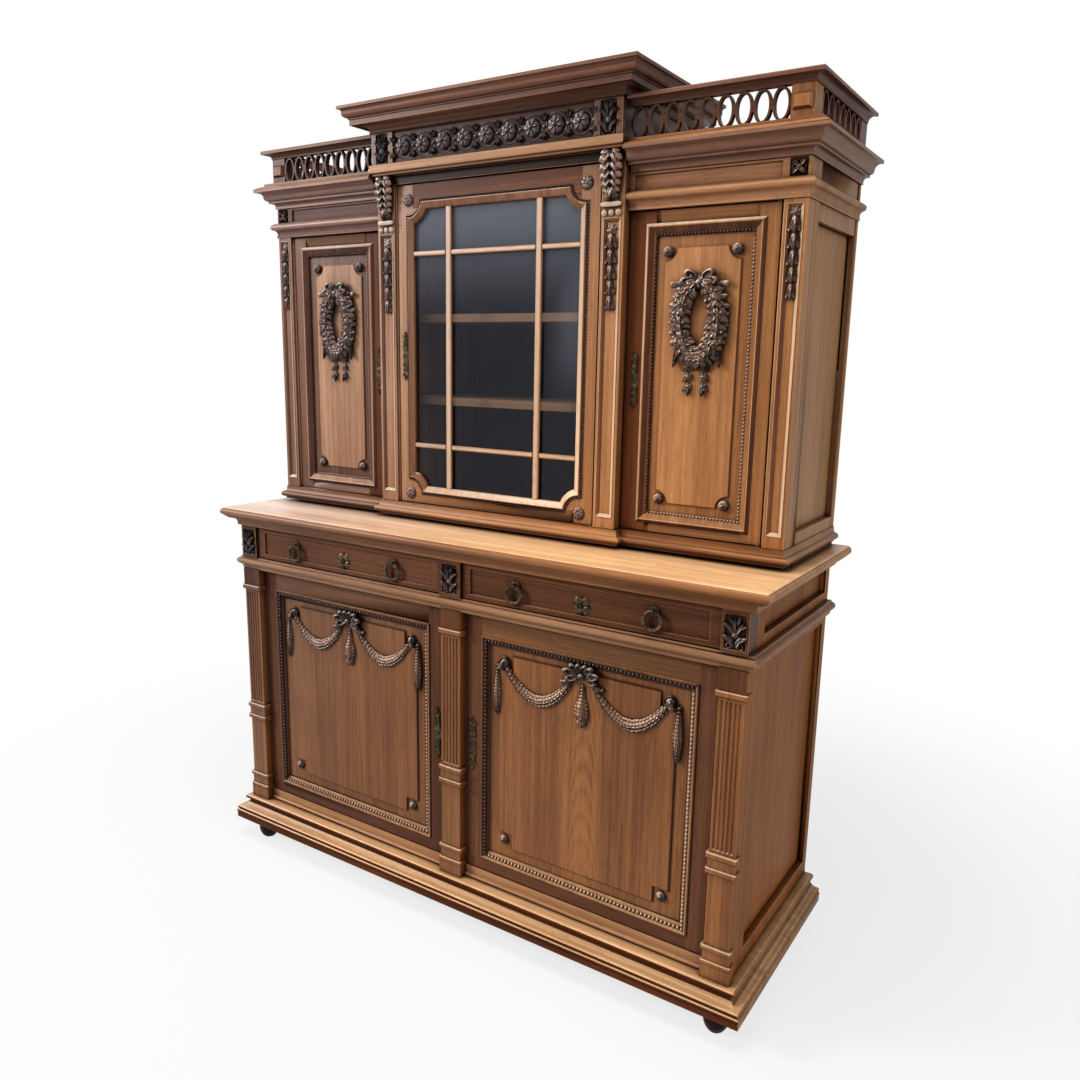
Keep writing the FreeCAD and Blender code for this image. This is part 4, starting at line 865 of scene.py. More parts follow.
LEAF = cut_leaf("leaf", (0.3, 0.85, 1, 0.8, 0.45, 0.08), (0.4, 0.8, 1, 0.95, 0.8, 0.55))
PETAL = cut_leaf("petal", (0.4, 0.8, 1, 0.95, 0.5), (0.75, 0.95, 1, 0.85, 0.4), 0.8)
BROAD_LEAF = cut_leaf("broad_leaf", (0.5, 0.9, 1, 0.95, 0.72, 0.2), (0.5, 0.9, 1, 0.95, 0.7, 0.3), 0.8)
RIBBON = cut_leaf("ribbon_end", (0.4, 0.7, 0.9, 1, 1.1), (0.3, 0.95, 0.5, 1, 0.6), 1.1, 0.75, 1)
PEARL = cut_pearl("pearl", 8, 6)
DOME = cut_pearl("dome", 16, 12)
LOOP = cut_loop("ribbon_loop", 0.35)
RING = cut_loop("ring", 1, 0.045, 36)
BAR = cut_block("bar", (0, -0.5, 0.5), (1, 1, 1), 0.3, 4)


class Relief:
    """Carved shapes laid on one upright face, placed and sized in millimetres."""

    def __init__(self, face=0, unit=MM):
        self.face = face
        self.unit = unit
        self.laid = []

    def lay(self, shape, x, z, wide, long, high, angle=0, rise=0, lean=0):
        """Angle turns the tip from upright towards +X, lean lifts it, rise moves it off the face."""
        u = self.unit
        size = Matrix.Diagonal((wide * u, high * u, long * u, 1))
        spot = Matrix.Translation((x * u, (self.face - rise) * u, z * u))
        self.laid.append((shape, spot @ turn(angle, "Y") @ turn(lean, "X") @ size))

    def fan(self, shape, x, z, count, reach, wide, long, high, rise=0, lean=0, start=0, skew=0):
        """Shapes set in a circle, tips outwards."""
        for k in range(count):
            angle = start + 360 * k / count
            out = math.radians(angle)
            self.lay(shape, x + reach * math.sin(out), z + reach * math.cos(out), wide, long, high, angle + skew, rise,
                     lean)

    def carve(self, name, material=None):
        """Joins all that was laid into one piece."""
        pieces = []
        for shape, place in self.laid:
            mesh = shape.data.copy()
            mesh.transform(place)
            pieces.append(new_piece(name, mesh))
        clear()
        for piece in pieces:
            piece.select_set(True)
        bpy.context.view_layer.objects.active = pieces[0]
        if len(pieces) > 1:
            bpy.ops.object.join()
        pieces[0].data.materials.clear()
        if material:
            pieces[0].data.materials.append(material)
        return pieces[0]


def twins(right, kind):
    """A right-hand piece and its left-hand twin, each with its side."""
    mesh = right.data.copy()
    mesh.transform(Matrix.Diagonal((-1, 1, 1, 1)))
    mesh.flip_normals()
    right.name = f"{kind}_right"
    return (right, "right"), (new_piece(f"{kind}_left", mesh), "left")


def pair(right, kind, body, slot, node=None):
    """Finishes a right-hand piece and its left-hand twin."""
    for piece, side in twins(right, kind):
        finish_piece(piece, f"{body}_{side}", slot, *([f"{node}_{side}"] if node else []))


def cut_rose():
    """A blossom one unit across: outer and inner petals round a heart."""
    rose = Relief(0, 1)
    rose.fan(PETAL, 0, 0, 6, 0.12, 0.36, 0.4, 0.24, 0, 18)
    rose.fan(PETAL, 0, 0, 5, 0.05, 0.3, 0.28, 0.26, 0.12, 30, 20)
    rose.lay(PEARL, 0, 0, 0.26, 0.26, 0.4, 0, 0.16)
    return rose.carve("rose")


def cut_swirl():
    """A domed rosette one unit across, its petals turning one way."""
    swirl = Relief(0, 1)
    swirl.lay(DOME, 0, 0, 0.96, 0.96, 0.3)
    swirl.fan(PETAL, 0, 0, 7, 0.1, 0.3, 0.4, 0.2, 0.16, -14, 0, 38)
    swirl.lay(PEARL, 0, 0, 0.24, 0.24, 0.16, 0, 0.3)
    return swirl.carve("swirl")


def cut_husk():
    """A hanging bell flower one unit long."""
    husk = Relief(0, 1)
    for way in (-1, 1):
        husk.lay(BROAD_LEAF, way * 0.06, -0.2, 0.42, 0.74, 0.34, 180 - way * 30, 0.02, 6)
        husk.lay(BROAD_LEAF, way * 0.3, -0.72, 0.26, 0.3, 0.26, 180 - way * 80, 0.06, 14)
    husk.lay(BROAD_LEAF, 0, -0.04, 0.58, 0.92, 0.5, 180, 0.12, 8)
    husk.lay(PEARL, 0, -0.06, 0.26, 0.2, 0.3, 0, 0.06)
    return husk.carve("husk")


ROSE = cut_rose()
SWIRL = cut_swirl()
HUSK = cut_husk()


# Lower doors: swags, bow, drops and bosses

PANEL_FACE = -234
SWAG_X = 386
SWAG_FROM, SWAG_TO = 30, 228
SWAG_LOW, SWAG_RISE = 694, 74
SWAG_STEPS = 24
KNOT_Z = 787
HOOK_X, HOOK_Z, HOOK_R = 230, 772, 16
DROP_X = 252
LOWER_BOSS_X, LOWER_BOSS_Z, LOWER_BOSS = 228, 283, 27


def jitter(amount):
    return draw.uniform(-amount, amount)


def swag(relief, way):
    """One hanging garland of laurel, thick in the middle, its leaves pointing to the lowest place."""
    half = (SWAG_TO - SWAG_FROM) / 2
    middle = SWAG_FROM + half
    for step in range(SWAG_STEPS + 1):
        t = 2 * step / SWAG_STEPS - 1
        x = SWAG_X + way * (middle + half * t)
        z = SWAG_LOW + SWAG_RISE * t * t
        thick = 10 + 14 * math.cos(t * math.pi / 2) ** 0.8
        slope = math.degrees(math.atan2(2 * SWAG_RISE * t, half))
        along = way * (90 - slope) if t < 0 else way * (270 - slope)
        relief.lay(PEARL, x, z, thick * 1.05, thick * 1.05, 8 + thick * 0.36)
        normal = math.radians(way * -slope)
        for place in (-1, 0, 1):
            off = place * thick * 0.3
            spread = way * place * (-12 if t < 0 else 12)
            relief.lay(LEAF, x + off * math.sin(normal), z + off * math.cos(normal), thick * 0.62 + jitter(1), 17, 5,
                       along + spread + jitter(6), thick * (0.44 - 0.13 * abs(place)), 7)


def leaf_drop(relief, x, top, bottom, widths, step):
    """A hanging bundle of leaves; widths run from its top to its end."""
    count = int((top - bottom) / step)
    for k in range(count + 1):
        t = k / count
        place = t * (len(widths) - 1)
        low = min(int(place), len(widths) - 2)
        wide = widths[low] + (widths[low + 1] - widths[low]) * (place - low)
        z = top - k * step
        relief.lay(PEARL, x, z, wide, wide, 6 + wide * 0.4)
        for way in (-1, 1):
            relief.lay(LEAF, x + way * wide * 0.27, z + 6, wide * 0.52, 17, 5, 180 - way * 8 + jitter(5),
                       wide * 0.22, 7)
        relief.lay(LEAF, x, z + 1, wide * 0.5, 17, 5, 180 + jitter(6), wide * 0.36, 7)


def bow(relief, x, z, loops, rise):
    """Ribbon loops spread from a knot; each loop gives its angle, length and width."""
    for angle, long, wide in loops:
        for way in (-1, 1):
            relief.lay(LOOP, x + way * 2, z, wide, long, 13, way * angle, rise, 12)
            relief.lay(PETAL, x + way * 3, z, wide * 0.8, long * 0.86, 9, way * (angle + 3), rise - 3, 8)
    relief.lay(DOME, x, z, 18, 16, 10, 0, rise + 5)


def lower_swags():
    relief = Relief(PANEL_FACE)
    for way in (-1, 1):
        swag(relief, way)
        leaf_drop(relief, SWAG_X + way * DROP_X, 762, 644, (9, 15, 20, 23, 22, 15), 9)
    leaf_drop(relief, SWAG_X, 760, 668, (12, 16, 24, 34, 36, 24), 9)
    relief.lay(DOME, SWAG_X, 668, 30, 26, 14, 0, 3)
    return relief.carve("lower_door_swags", COPPER_CARVED)


def lower_bow():
    relief = Relief(PANEL_FACE)
    for way in (-1, 1):
        x = SWAG_X + way * HOOK_X
        relief.lay(RING, x, HOOK_Z - HOOK_R, 2 * HOOK_R, 2 * HOOK_R, 14)
        relief.lay(DOME, x, HOOK_Z, 1.5 * HOOK_R, 1.5 * HOOK_R, 11, 0, 2)
        relief.lay(RIBBON, x, HOOK_Z + 8, 14, 30, 8, way * 160, 10, 6)
        boss = SWAG_X + way * LOWER_BOSS_X
        relief.lay(DOME, boss, LOWER_BOSS_Z, LOWER_BOSS, LOWER_BOSS, 11)
        relief.lay(DOME, boss, LOWER_BOSS_Z, LOWER_BOSS * 0.55, LOWER_BOSS * 0.55, 8, 0, 6)
    bow(relief, SWAG_X, KNOT_Z, ((18, 33, 20), (50, 42, 21), (80, 52, 21), (108, 46, 18)), 8)
    for way in (-1, 1):
        relief.lay(RIBBON, SWAG_X + way * 5, KNOT_Z - 2, 13, 58, 9, way * 118, 6, 4)
        relief.lay(PEARL, SWAG_X + way * 56, KNOT_Z - 25, 12, 12, 12, 0, 5)
    return relief.carve("lower_door_bow", BOW_CARVED)


pair(lower_swags(), "lower_door_swags", "lower_door", "carved_walnut", "lower_door_carving")
pair(lower_bow(), "lower_door_bow", "lower_door", "carved_walnut")


# Wing doors: wreath with its bow and two drops, and corner bosses

WING_FIELD = -73
WREATH = (567, 1622)
WREATH_REACH = (45, 83)
WREATH_STEPS = 15
WREATH_ROSES = ((-42, 34, 38), (-46, -50, 38), (44, -54, 38), (50, 6, 32), (44, 50, 30), (-14, -92, 24), (17, -90, 24),
                (-52, -8, 26), (-34, 66, 24), (36, -20, 24))
WING_BOSS_SPOTS = ((483, 1205), (649, 1205), (483, 1773), (649, 1773))


def wing_carving():
    relief = Relief(WING_FIELD)
    x, z = WREATH
    for way in (-1, 1):
        for step in range(WREATH_STEPS):
            a = math.radians(10 + 170 * step / (WREATH_STEPS - 1))
            spot = (x + way * WREATH_REACH[0] * math.sin(a), z + WREATH_REACH[1] * math.cos(a))
            along = way * math.degrees(math.atan2(WREATH_REACH[0] * math.cos(a), -WREATH_REACH[1] * math.sin(a)))
            relief.lay(PEARL, *spot, 42, 36, 15)
            for swing, rise, long in ((-82, 2, 30), (-46, 7, 30), (-14, 11, 26), (22, 11, 25), (62, 6, 30)):
                relief.lay(BROAD_LEAF, *spot, 17 + jitter(2), long + jitter(3), 10,
                           along + way * (swing + jitter(12)), rise, 9 + jitter(7))
            berry = 10 + jitter(2.5)
            relief.lay(DOME, spot[0] + jitter(20), spot[1] + jitter(7), berry, berry, 9, 0, 12)
    for off_x, off_z, size in WREATH_ROSES:
        relief.lay(ROSE, x + off_x, z + off_z, size, size, size * 0.85, jitter(40), 9)
    bow(relief, x, z + 80, ((50, 44, 26), (84, 46, 24)), 8)
    for way in (-1, 1):
        relief.lay(RIBBON, x + way * 34, z + 78, 15, 40, 8, way * 92, 2, 6)
        drop = x - 2 + way * 18.5
        for low, size in ((104, 22), (128, 20), (150, 18)):
            relief.lay(ROSE, drop + jitter(2), z - low, size, size, size * 0.8, jitter(40), 2)
            relief.lay(LEAF, drop, z - low, 9, 18, 7, 180 - way * 50, 1, 10)
        relief.lay(LEAF, drop, z - 152, 9, 20, 7, 180 + way * 8, 2, 8)
        for k in range(3):
            relief.lay(LEAF, x + way * (44 + 4 * k), z - 62 - 10 * k, 11, 26, 8, way * (150 + 10 * k), 4, 12)
    for spot in WING_BOSS_SPOTS:
        relief.lay(DOME, *spot, 25, 25, 9)
        relief.fan(PETAL, *spot, 8, 3, 7, 9, 3, 7, -24)
        relief.lay(PEARL, *spot, 8, 8, 5, 0, 8)
    return relief.carve("wing_door_wreath", CARVED)


pair(wing_carving(), "wing_door_wreath", "wing_door", "carved_walnut", "wing_door_carving")


# Pilasters: leaf corbels, balls under them, and husk drops

CORBEL_X, CORBEL_FACE, CORBEL_HALF = 348, -102.5, 27
CORBEL_TOP, CORBEL_LOW, CORBEL_OUT = 1999, 1889, 13
CORBEL_ROWS = ((1992, 33, 22), (1973, 33, 22), (1954, 31, 21), (1936, 28, 20), (1920, 25, 18), (1906, 19, 15))
HUSKS = 5
CENTRE_HUSKS = (348, -97.5, 1839, 1639, 27)
WING_HUSKS = (774, -79, 1852, 1657, 24)


def corbel_core():
    """The curved block under a corbel's leaves, deepest at its top."""
    deep, tall = CORBEL_OUT * MM, (CORBEL_TOP - CORBEL_LOW) * MM
    middle = CORBEL_FACE * MM - deep / 2

    def taper():
        pick(lambda c: c.z < (CORBEL_LOW + 1) * MM and c.y < middle)
        push((0, deep * 0.7, 0))

    return cut_block("corbel_core", (CORBEL_X * MM, middle, (CORBEL_TOP + CORBEL_LOW) / 2 * MM),
                     (1.2 * CORBEL_HALF * MM, deep, tall), 4 * MM, 3, taper)


def corbel(relief, way):
    """Lobed leaf pairs down both sides of a mid rib, their tips curling forward."""
    for z, long, wide in CORBEL_ROWS:
        rise = CORBEL_OUT * (0.35 + 0.65 * (z - CORBEL_LOW) / (CORBEL_TOP - CORBEL_LOW))
        for side in (-1, 1):
            x = CORBEL_X + side * 2
            relief.lay(BROAD_LEAF, way * x, z, wide, long, 9, way * side * 122, rise - 5, 10)
            relief.lay(BROAD_LEAF, way * x, z + 4, wide * 0.7, long * 0.75, 8, way * side * 100, rise - 4, 14)
            relief.lay(BROAD_LEAF, way * x, z - 2, wide * 0.62, long * 0.8, 8, way * side * 146, rise - 2, 16)
        relief.lay(LEAF, way * CORBEL_X, z + 6, 7, 26, 6, 180, rise - 1, 6)
    relief.lay(LEAF, way * CORBEL_X, CORBEL_LOW + 24, 24, 24, 10, 180, 8, 16)


def husk_drop(relief, way, x, face, top, low, wide):
    """A rosette and a string of bell flowers that get smaller downwards."""
    relief.face = face
    relief.lay(ROSE, way * x, top - wide / 2, wide, wide, 11, 15)
    step = (top - wide - low) / HUSKS
    for k in range(HUSKS):
        size = 1 - 0.28 * k / (HUSKS - 1)
        relief.lay(HUSK, way * x, top - wide - k * step + 3, wide * 1.15 * size, step * 1.06, 22 * size)


def pilaster_carving():
    """The corbels are one piece, the husk drops another."""
    core = corbel_core()
    leaves, husks = Relief(CORBEL_FACE), Relief()
    for _, way in SIDES:
        leaves.laid.append((core, Matrix.Translation(((way - 1) * CORBEL_X * MM, 0, 0))))
        corbel(leaves, way)
        husk_drop(husks, way, *CENTRE_HUSKS)
        husk_drop(husks, way, *WING_HUSKS)
    finish_piece(leaves.carve("corbel_leaves", BRIGHT_CARVED), "case", "carved_walnut", "pilaster_carvings")
    finish_piece(husks.carve("husk_drops", CARVED), "case", "carved_walnut")
    discard(core)


pilaster_carving()


# Crown frieze and plaques

CROWN_ROSETTES, CROWN_PITCH = 9, 67.6
ROSETTE, GUILLOCHE = 44, 62


def crown_carving():
    """The rosettes are one piece, the rings and leaves round them another."""
    relief, lace = Relief(CROWN_FACE), Relief(CROWN_FACE)
    for k in range(CROWN_ROSETTES):
        x = (k - (CROWN_ROSETTES - 1) / 2) * CROWN_PITCH
        relief.lay(SWIRL, x, CROWN_Z, ROSETTE, ROSETTE, 38, 24 * k)
        lace.lay(RING, x, CROWN_Z - GUILLOCHE / 2, GUILLOCHE, GUILLOCHE, 2.6)
    for k in range(CROWN_ROSETTES + 1):
        x = (k - CROWN_ROSETTES / 2) * CROWN_PITCH
        relief.lay(PEARL, x, CROWN_Z, 9, 9, 6)
        for up in (-1, 1):
            for way in (-1, 0, 1):
                lace.lay(LEAF, x, CROWN_Z + up * 12, 9, 18, 6, (0 if up > 0 else 180) + way * 34, 1, 4)
    finish_piece(relief.carve("crown_rosette_band", DARK_CARVED), "case", "carved_walnut", "crown_rosettes")
    finish_piece(lace.carve("crown_rosette_rings", BOW_CARVED), "case", "carved_walnut")


crown_carving()


SPRAY_LEAVES = ((-0.46, 28, 0.42), (-0.3, 62, 0.4), (-0.05, 34, 0.42), (0.1, 70, 0.36), (0.12, 20, 0.4))


def spray(relief, x, z, wide, tall):
    """Leaves rising from a scrolled foot, with a bud in the middle."""
    for way in (-1, 1):
        for share, angle, long in SPRAY_LEAVES:
            relief.lay(LEAF, x + way * wide * 0.04, z + share * tall, wide * 0.3, long * tall, 8, way * angle, 1, 12)
        relief.lay(LOOP, x + way * wide * 0.12, z - tall * 0.34, wide * 0.3, tall * 0.24, 10, way * 130, 1)
    relief.lay(LEAF, x, z, wide * 0.28, tall * 0.5, 10, 0, 3, 8)
    relief.lay(ROSE, x, z - tall * 0.08, wide * 0.36, wide * 0.36, 13, 0, 3)


def corner_flower(relief, x, z, wide, tall):
    """A square flower: four broad petals to the corners, scrolls between them."""
    size = min(wide, tall)
    relief.fan(LEAF, x, z, 4, 3, size * 0.42, size * 0.56, 9, 1, 10, 45)
    relief.fan(LOOP, x, z, 4, 4, size * 0.3, size * 0.36, 8, 1, 6, 0)
    relief.lay(ROSE, x, z, size * 0.4, size * 0.4, 12, 0, 4)


def plaque_carving():
    """The leaf sprays are one piece, the square flowers another."""
    sprays, flowers = Relief(), Relief(-79)
    for x, z, face, wide, tall in ((0, 973, -265, 47, 74), (769, 973, -265, 47, 74), (-769, 973, -265, 47, 74),
                                   (343, 2066, -118, 40, 71), (-343, 2066, -118, 40, 71)):
        sprays.face = face
        spray(sprays, x, z, wide, tall)
    for _, way in SIDES:
        corner_flower(flowers, way * 775, 1928, 37, 35)
    finish_piece(sprays.carve("leaf_plaques", DARK_CARVED), "case", "carved_walnut", "carved_plaques")
    finish_piece(flowers.carve("flower_plaques", COPPER_CARVED), "case", "carved_walnut")


plaque_carving()


# Mouldings round the doors and the pilaster panels, and strings of pearls

def along(points, pitch):
    """Evenly spaced places on a closed line, each with the angle that points outwards."""
    ends = points[1:] + points[:1]
    total = sum(math.dist(a, b) for a, b in zip(points, ends))
    step = total / round(total / pitch)
    spots, passed = [], 0
    for a, b in zip(points, ends):
        span = math.dist(a, b)
        while len(spots) * step < passed + span - NEAR:
            t = (len(spots) * step - passed) / span
            across, up = b[0] - a[0], b[1] - a[1]
            spots.append((a[0] + across * t, a[1] + up * t, math.degrees(math.atan2(up, -across))))
        passed += span
    return spots


def oblong(left, right, low, top):
    """Gives the line a given distance outside an oblong."""
    return lambda out: [(right + out, low - out), (right + out, top + out),
                        (left - out, top + out), (left - out, low - out)]


def pearls(name, points, pitch, size, high, face, lean):
    """A string of pearls, leaning inwards."""
    relief = Relief(face)
    for x, z, outwards in along(points, pitch):
        relief.lay(PEARL, x, z, size, size, high, outwards, 0, lean)
    return relief.carve(name)


def tint_pearls(piece, pale, dark, edge):
    """Pearls painted lit on the right and the bottom of a door, and painted in shade on the left and the top."""
    for finish in (dark, pale):
        piece.data.materials.append(finish)
    left = min(vert.co.x for vert in piece.data.vertices) + edge * MM
    top = max(vert.co.z for vert in piece.data.vertices) - edge * MM
    for face in piece.data.polygons:
        face.material_index = int(face.center.x > left and face.center.z < top)


def pearl_pair(kind, body, *string):
    """The same string of pearls on a right-hand and a left-hand door."""
    for piece, side in twins(pearls(kind, *string), kind):
        # Painted light on the right and bottom pearls, painted shade on the left and top ones
        tint_pearls(piece, BRIGHT_CARVED, SHADED_CARVED, PEARL_EDGE)
        finish_piece(piece, f"{body}_{side}", "carved_walnut")


def run_moulding(name, line, profile, face):
    """A moulding carried round an opening; its profile gives places outside the opening and heights off the face."""
    rings = [[(x * MM, (face - high) * MM, z * MM) for x, z in line(out)] for out, high in profile]
    count = len(rings[0])
    edges = [(r * count + k, r * count + (k + 1) % count) for r in range(len(rings)) for k in range(count)]
    mesh = bpy.data.meshes.new(name)
    mesh.from_pydata([corner for ring in rings for corner in ring], edges, [])
    piece = new_piece(name, mesh)
    with bench(piece):
        for ring in range(len(rings)):
            ends = ring, (ring + 1) % len(rings)
            mark_all("DESELECT")
            pick(lambda number: number // count in ends, lambda vert: vert.index)
            bpy.ops.mesh.bridge_edge_loops()
        mark_all()
        bpy.ops.mesh.normals_make_consistent(inside=False)
    smooth(piece, 32)
    return piece


def paint_light_by_facing(piece, plain, pale, dark, steep=0.3):
    """Painted light and shade: the pale finish where a moulding turns up or to the left, the dark one where it turns
    away.
    """
    for finish in (plain, pale, dark):
        piece.data.materials.append(finish)
    for face in piece.data.polygons:
        turned = face.normal.z - face.normal.x
        face.material_index = 1 if turned > steep else 2 if turned < -0.3 else 0
    mark_grain(piece)


def moulding_pair(kind, body, line, profile, face, *finishes):
    """The same moulding on a right-hand and a left-hand part."""
    for piece, side in twins(run_moulding(kind, line, profile, face), kind):
        paint_light_by_facing(piece, *finishes)
        finish_piece(piece, body if body == "case" else f"{body}_{side}", "walnut")


SLOPE = 40
PEARL_EDGE = 14
LOWER_MOULD = ((4, -1), (3.5, 1.5), (2, 3.2), (-1, 3.6), (-3.5, 2.6), (-4.5, 1), (-16, -8), (-18, -9.5), (-19, -10.8))
WING_MOULDING = ((0, -1), (-0.4, 0.5), (-6.4, 5.2), (-7.6, 5.7), (-9, 5.5), (-10, 4.8), (-24, -1.6), (-25, -2.6),
                 (-28, -4.2), (-29, -5.9))
PILASTER_EDGE = ((2, -0.8), (1.6, 0.5), (0.6, 0.9), (-0.6, 0.5), (-7.4, -4.2), (-8, -5.4))
lower_line = oblong(*LOWER_OPENING)
wing_line = oblong(*WING_MOULD)
# The second and third finishes paint light and shade on each moulding
moulding_pair("lower_door_moulding", "lower_door", lower_line, LOWER_MOULD, LOWER_FACE, FRAME, LIT_WALNUT, SHADED)
moulding_pair("wing_door_moulding", "wing_door", wing_line, WING_MOULDING, WING_FACE, HONEY, HIGHLIT, DARK,
              0.5)
pearl_pair("lower_door_pearls", "lower_door", lower_line(-9.5), 10.6, 9, 5.4, LOWER_FACE + 2.6, SLOPE)
pearl_pair("wing_door_pearls", "wing_door", wing_line(-26), 8.4, 5.8, 4.2, WING_FACE + 2.6, SLOPE)
for name, face, edges in (("centre", -102.5, (328, 372, 1150, 1850)), ("wing", -84, (757, 791, 1150, 1856))):
    moulding_pair(f"{name}_pilaster_edge", "case", oblong(*edges), PILASTER_EDGE, face, WALNUT, HIGHLIT, FRAME)

BOSS_OUT_X, BOSS_OUT_Z, CORNER_R = 14, 21, 60
GLAZED_BOSS = 33
ARC_STEPS = 10


def boss_centre(way, up):
    _, right, low, top = GLAZED_OPENING
    return way * (right + BOSS_OUT_X), (top + BOSS_OUT_Z if up > 0 else low - BOSS_OUT_Z)


def glazed_line(out):
    """The edge of the glazed opening moved outwards, hollow round the corner bosses."""
    points = []
    for way, up in ((1, 1), (-1, 1), (-1, -1), (1, -1)):
        x, z = boss_centre(way, up)
        reach = CORNER_R - out
        side = BOSS_OUT_X - out
        end = BOSS_OUT_Z - out
        first = math.atan2(math.sqrt(reach ** 2 - side ** 2), side)
        last = math.atan2(end, math.sqrt(reach ** 2 - end ** 2))
        arc = [first + (last - first) * k / ARC_STEPS for k in range(ARC_STEPS + 1)]
        if way * up < 0:
            arc.reverse()
        points += [(x - way * reach * math.cos(a), z - up * reach * math.sin(a)) for a in arc]
    return points


GLAZED_MOULD = ((16.8, -1), (16.4, 1.4), (15.4, 3.6), (14, 4.9), (12.8, 5.2), (11.8, 4.8), (0, 0.3), (-1.5, -1),
                (-2.5, -4), (-2.5, -8.6))
PEARL_LINE = 20
moulding = run_moulding("glazed_door_moulding", glazed_line, GLAZED_MOULD, GLAZED_FACE)
# Painted light and shade on the glazed moulding
paint_light_by_facing(moulding, WALNUT, HIGHLIT, WALNUT)
finish_piece(moulding, "centre_door", "walnut")
glazed_pearls = pearls("glazed_door_pearls", glazed_line(PEARL_LINE), 8, 5.8, 3.8, GLAZED_FACE, 0)
glazed_pearls.data.materials.append(SHADED_CARVED)
finish_piece(glazed_pearls, "centre_door", "carved_walnut")


def glazed_bosses():
    relief = Relief(GLAZED_FACE)
    for way in (-1, 1):
        for up in (-1, 1):
            x, z = boss_centre(way, up)
            relief.lay(RING, x, z - GLAZED_BOSS / 2, GLAZED_BOSS, GLAZED_BOSS, 6)
            relief.lay(DOME, x, z, GLAZED_BOSS * 0.88, GLAZED_BOSS * 0.88, 4)
            relief.fan(PETAL, x, z, 8, 4, 9, 11, 2.4, 2.6, -4, 10)
            relief.lay(PEARL, x, z, 9, 9, 2, 0, 3.4)
    return relief.carve("glazed_door_bosses", CARVED)


finish_piece(glazed_bosses(), "centre_door", "carved_walnut", "centre_door_bosses")


# Fillet and half balls under each corbel

BALL_Z, BALL_PITCH, FILLET_LOW, FILLET_HIGH = 1863, 19, 1875, 1887
FILLET_HALF, FILLET_PROUD = 27.5, 9


def capitals():
    relief = Relief(CORBEL_FACE)
    for _, way in SIDES:
        x = way * CORBEL_X
        relief.lay(BAR, x, FILLET_LOW, 2 * FILLET_HALF, FILLET_HIGH - FILLET_LOW, FILLET_PROUD)
        for k in (-1, 0, 1):
            relief.lay(DOME, x + k * BALL_PITCH * 0.96, BALL_Z, BALL_PITCH * 0.92, BALL_PITCH * 0.86, 8)
    # Painted highlight: the fillet and balls in the pale finish
    piece = relief.carve("corbel_balls", HIGHLIT)
    mark_grain(piece)
    finish_piece(piece, "case", "walnut")


capitals()


# Brass: keyhole plates, drawer plates and the leaves on the ring pulls

PLATE_ROWS = (0.1, 0.5, 0.75, 0.45, 0.35, 0.8, 0.6, 0.7, 1, 1, 1, 0.7, 0.6, 0.8, 0.35, 0.45, 0.75, 0.5, 0.1)
KEYHOLE = 0.16


def cut_plate(name, aspect):
    """A thin cusped plate of unit size with a keyhole; aspect is its height over its width."""
    plate = cut_leaf(name, PLATE_ROWS, (0.7,) * len(PLATE_ROWS), 1, 0.55)
    clear()
    bpy.ops.mesh.primitive_cylinder_add(vertices=14, radius=KEYHOLE, depth=4, rotation=UPRIGHT,
                                        location=(0, 0, 0.5 + 0.4 * KEYHOLE / aspect), scale=(1, 1 / aspect, 1))
    cutter = settle("keyhole")
    with bench(cutter):
        pick(lambda c: c.z < 0.5 - 0.2 * KEYHOLE / aspect)
        push((0, 0, -1.6 * KEYHOLE / aspect))
        widen((0.6, 1, 1), (0, 0, 0.5))
    apply(plate, "BOOLEAN", object=cutter, operation="DIFFERENCE", solver="EXACT")
    discard(cutter)
    return plate


def keyhole_plate(relief, plate, x, z, wide, tall):
    """A plate with leaves up and down from its keyhole."""
    relief.lay(plate, x, z - tall / 2, wide, tall, 2.6)
    relief.lay(RING, x, z - wide * 0.3, wide * 0.6, wide * 0.6, 3.4, 0, 1.6)
    for up in (0, 180):
        sign = 1 if up == 0 else -1
        for share, angle in ((0.1, 32), (0.2, 26), (0.32, 38)):
            for way in (-1, 1):
                relief.lay(LEAF, x, z + sign * share * tall, wide * 0.34, tall * 0.13, 2.4, up + sign * way * angle,
                           1.6, 3)
        relief.lay(LEAF, x, z + sign * tall * 0.34, wide * 0.36, tall * 0.17, 2.8, up, 1.8, 2)
        relief.lay(PEARL, x, z + sign * tall * 0.31, wide * 0.26, wide * 0.26, 2.6, 0, 1.6)


def kept_part(node, drop):
    """A merged copy of a plain part without the points that drop picks."""
    piece = plain_copy(node, node)
    with part_bench(piece):
        pick(drop)
        bpy.ops.mesh.delete(type="VERT")
    smooth(piece)
    return piece


def plate_piece(node, name, face, x, z, wide, tall):
    """A door's keyhole plate together with the lock case behind the door."""
    case = kept_part(node, lambda c: c.y < (face + 8) * MM)
    plate = cut_plate("plate", tall / wide)
    relief = Relief(face)
    relief.laid.append((case, Matrix.Identity(4)))
    keyhole_plate(relief, plate, x, z, wide, tall)
    piece = relief.carve(name, BRASS)
    discard(case, plate)
    return piece


for kind, *plate in (("lower_door", LOWER_FACE, 60, 532, 25, 145), ("wing_door", WING_FACE, 408, 1484, 21, 130)):
    pair(plate_piece(f"{kind}_lock_right", "plate", *plate), f"{kind}_plate", kind, "patinated_brass", f"{kind}_lock")
finish_piece(plate_piece("centre_door_lock", "glazed_door_plate", GLAZED_FACE, -291, 1529, 20, 130), "centre_door",
             "patinated_brass", "centre_door_lock")

DRAWER_FACE, DRAWER_X, DRAWER_Z, DRAWER_PLATE = -257, 386, 964, 46
RING_OUT, RING_Y, RING_R = 188, -267, 21.5


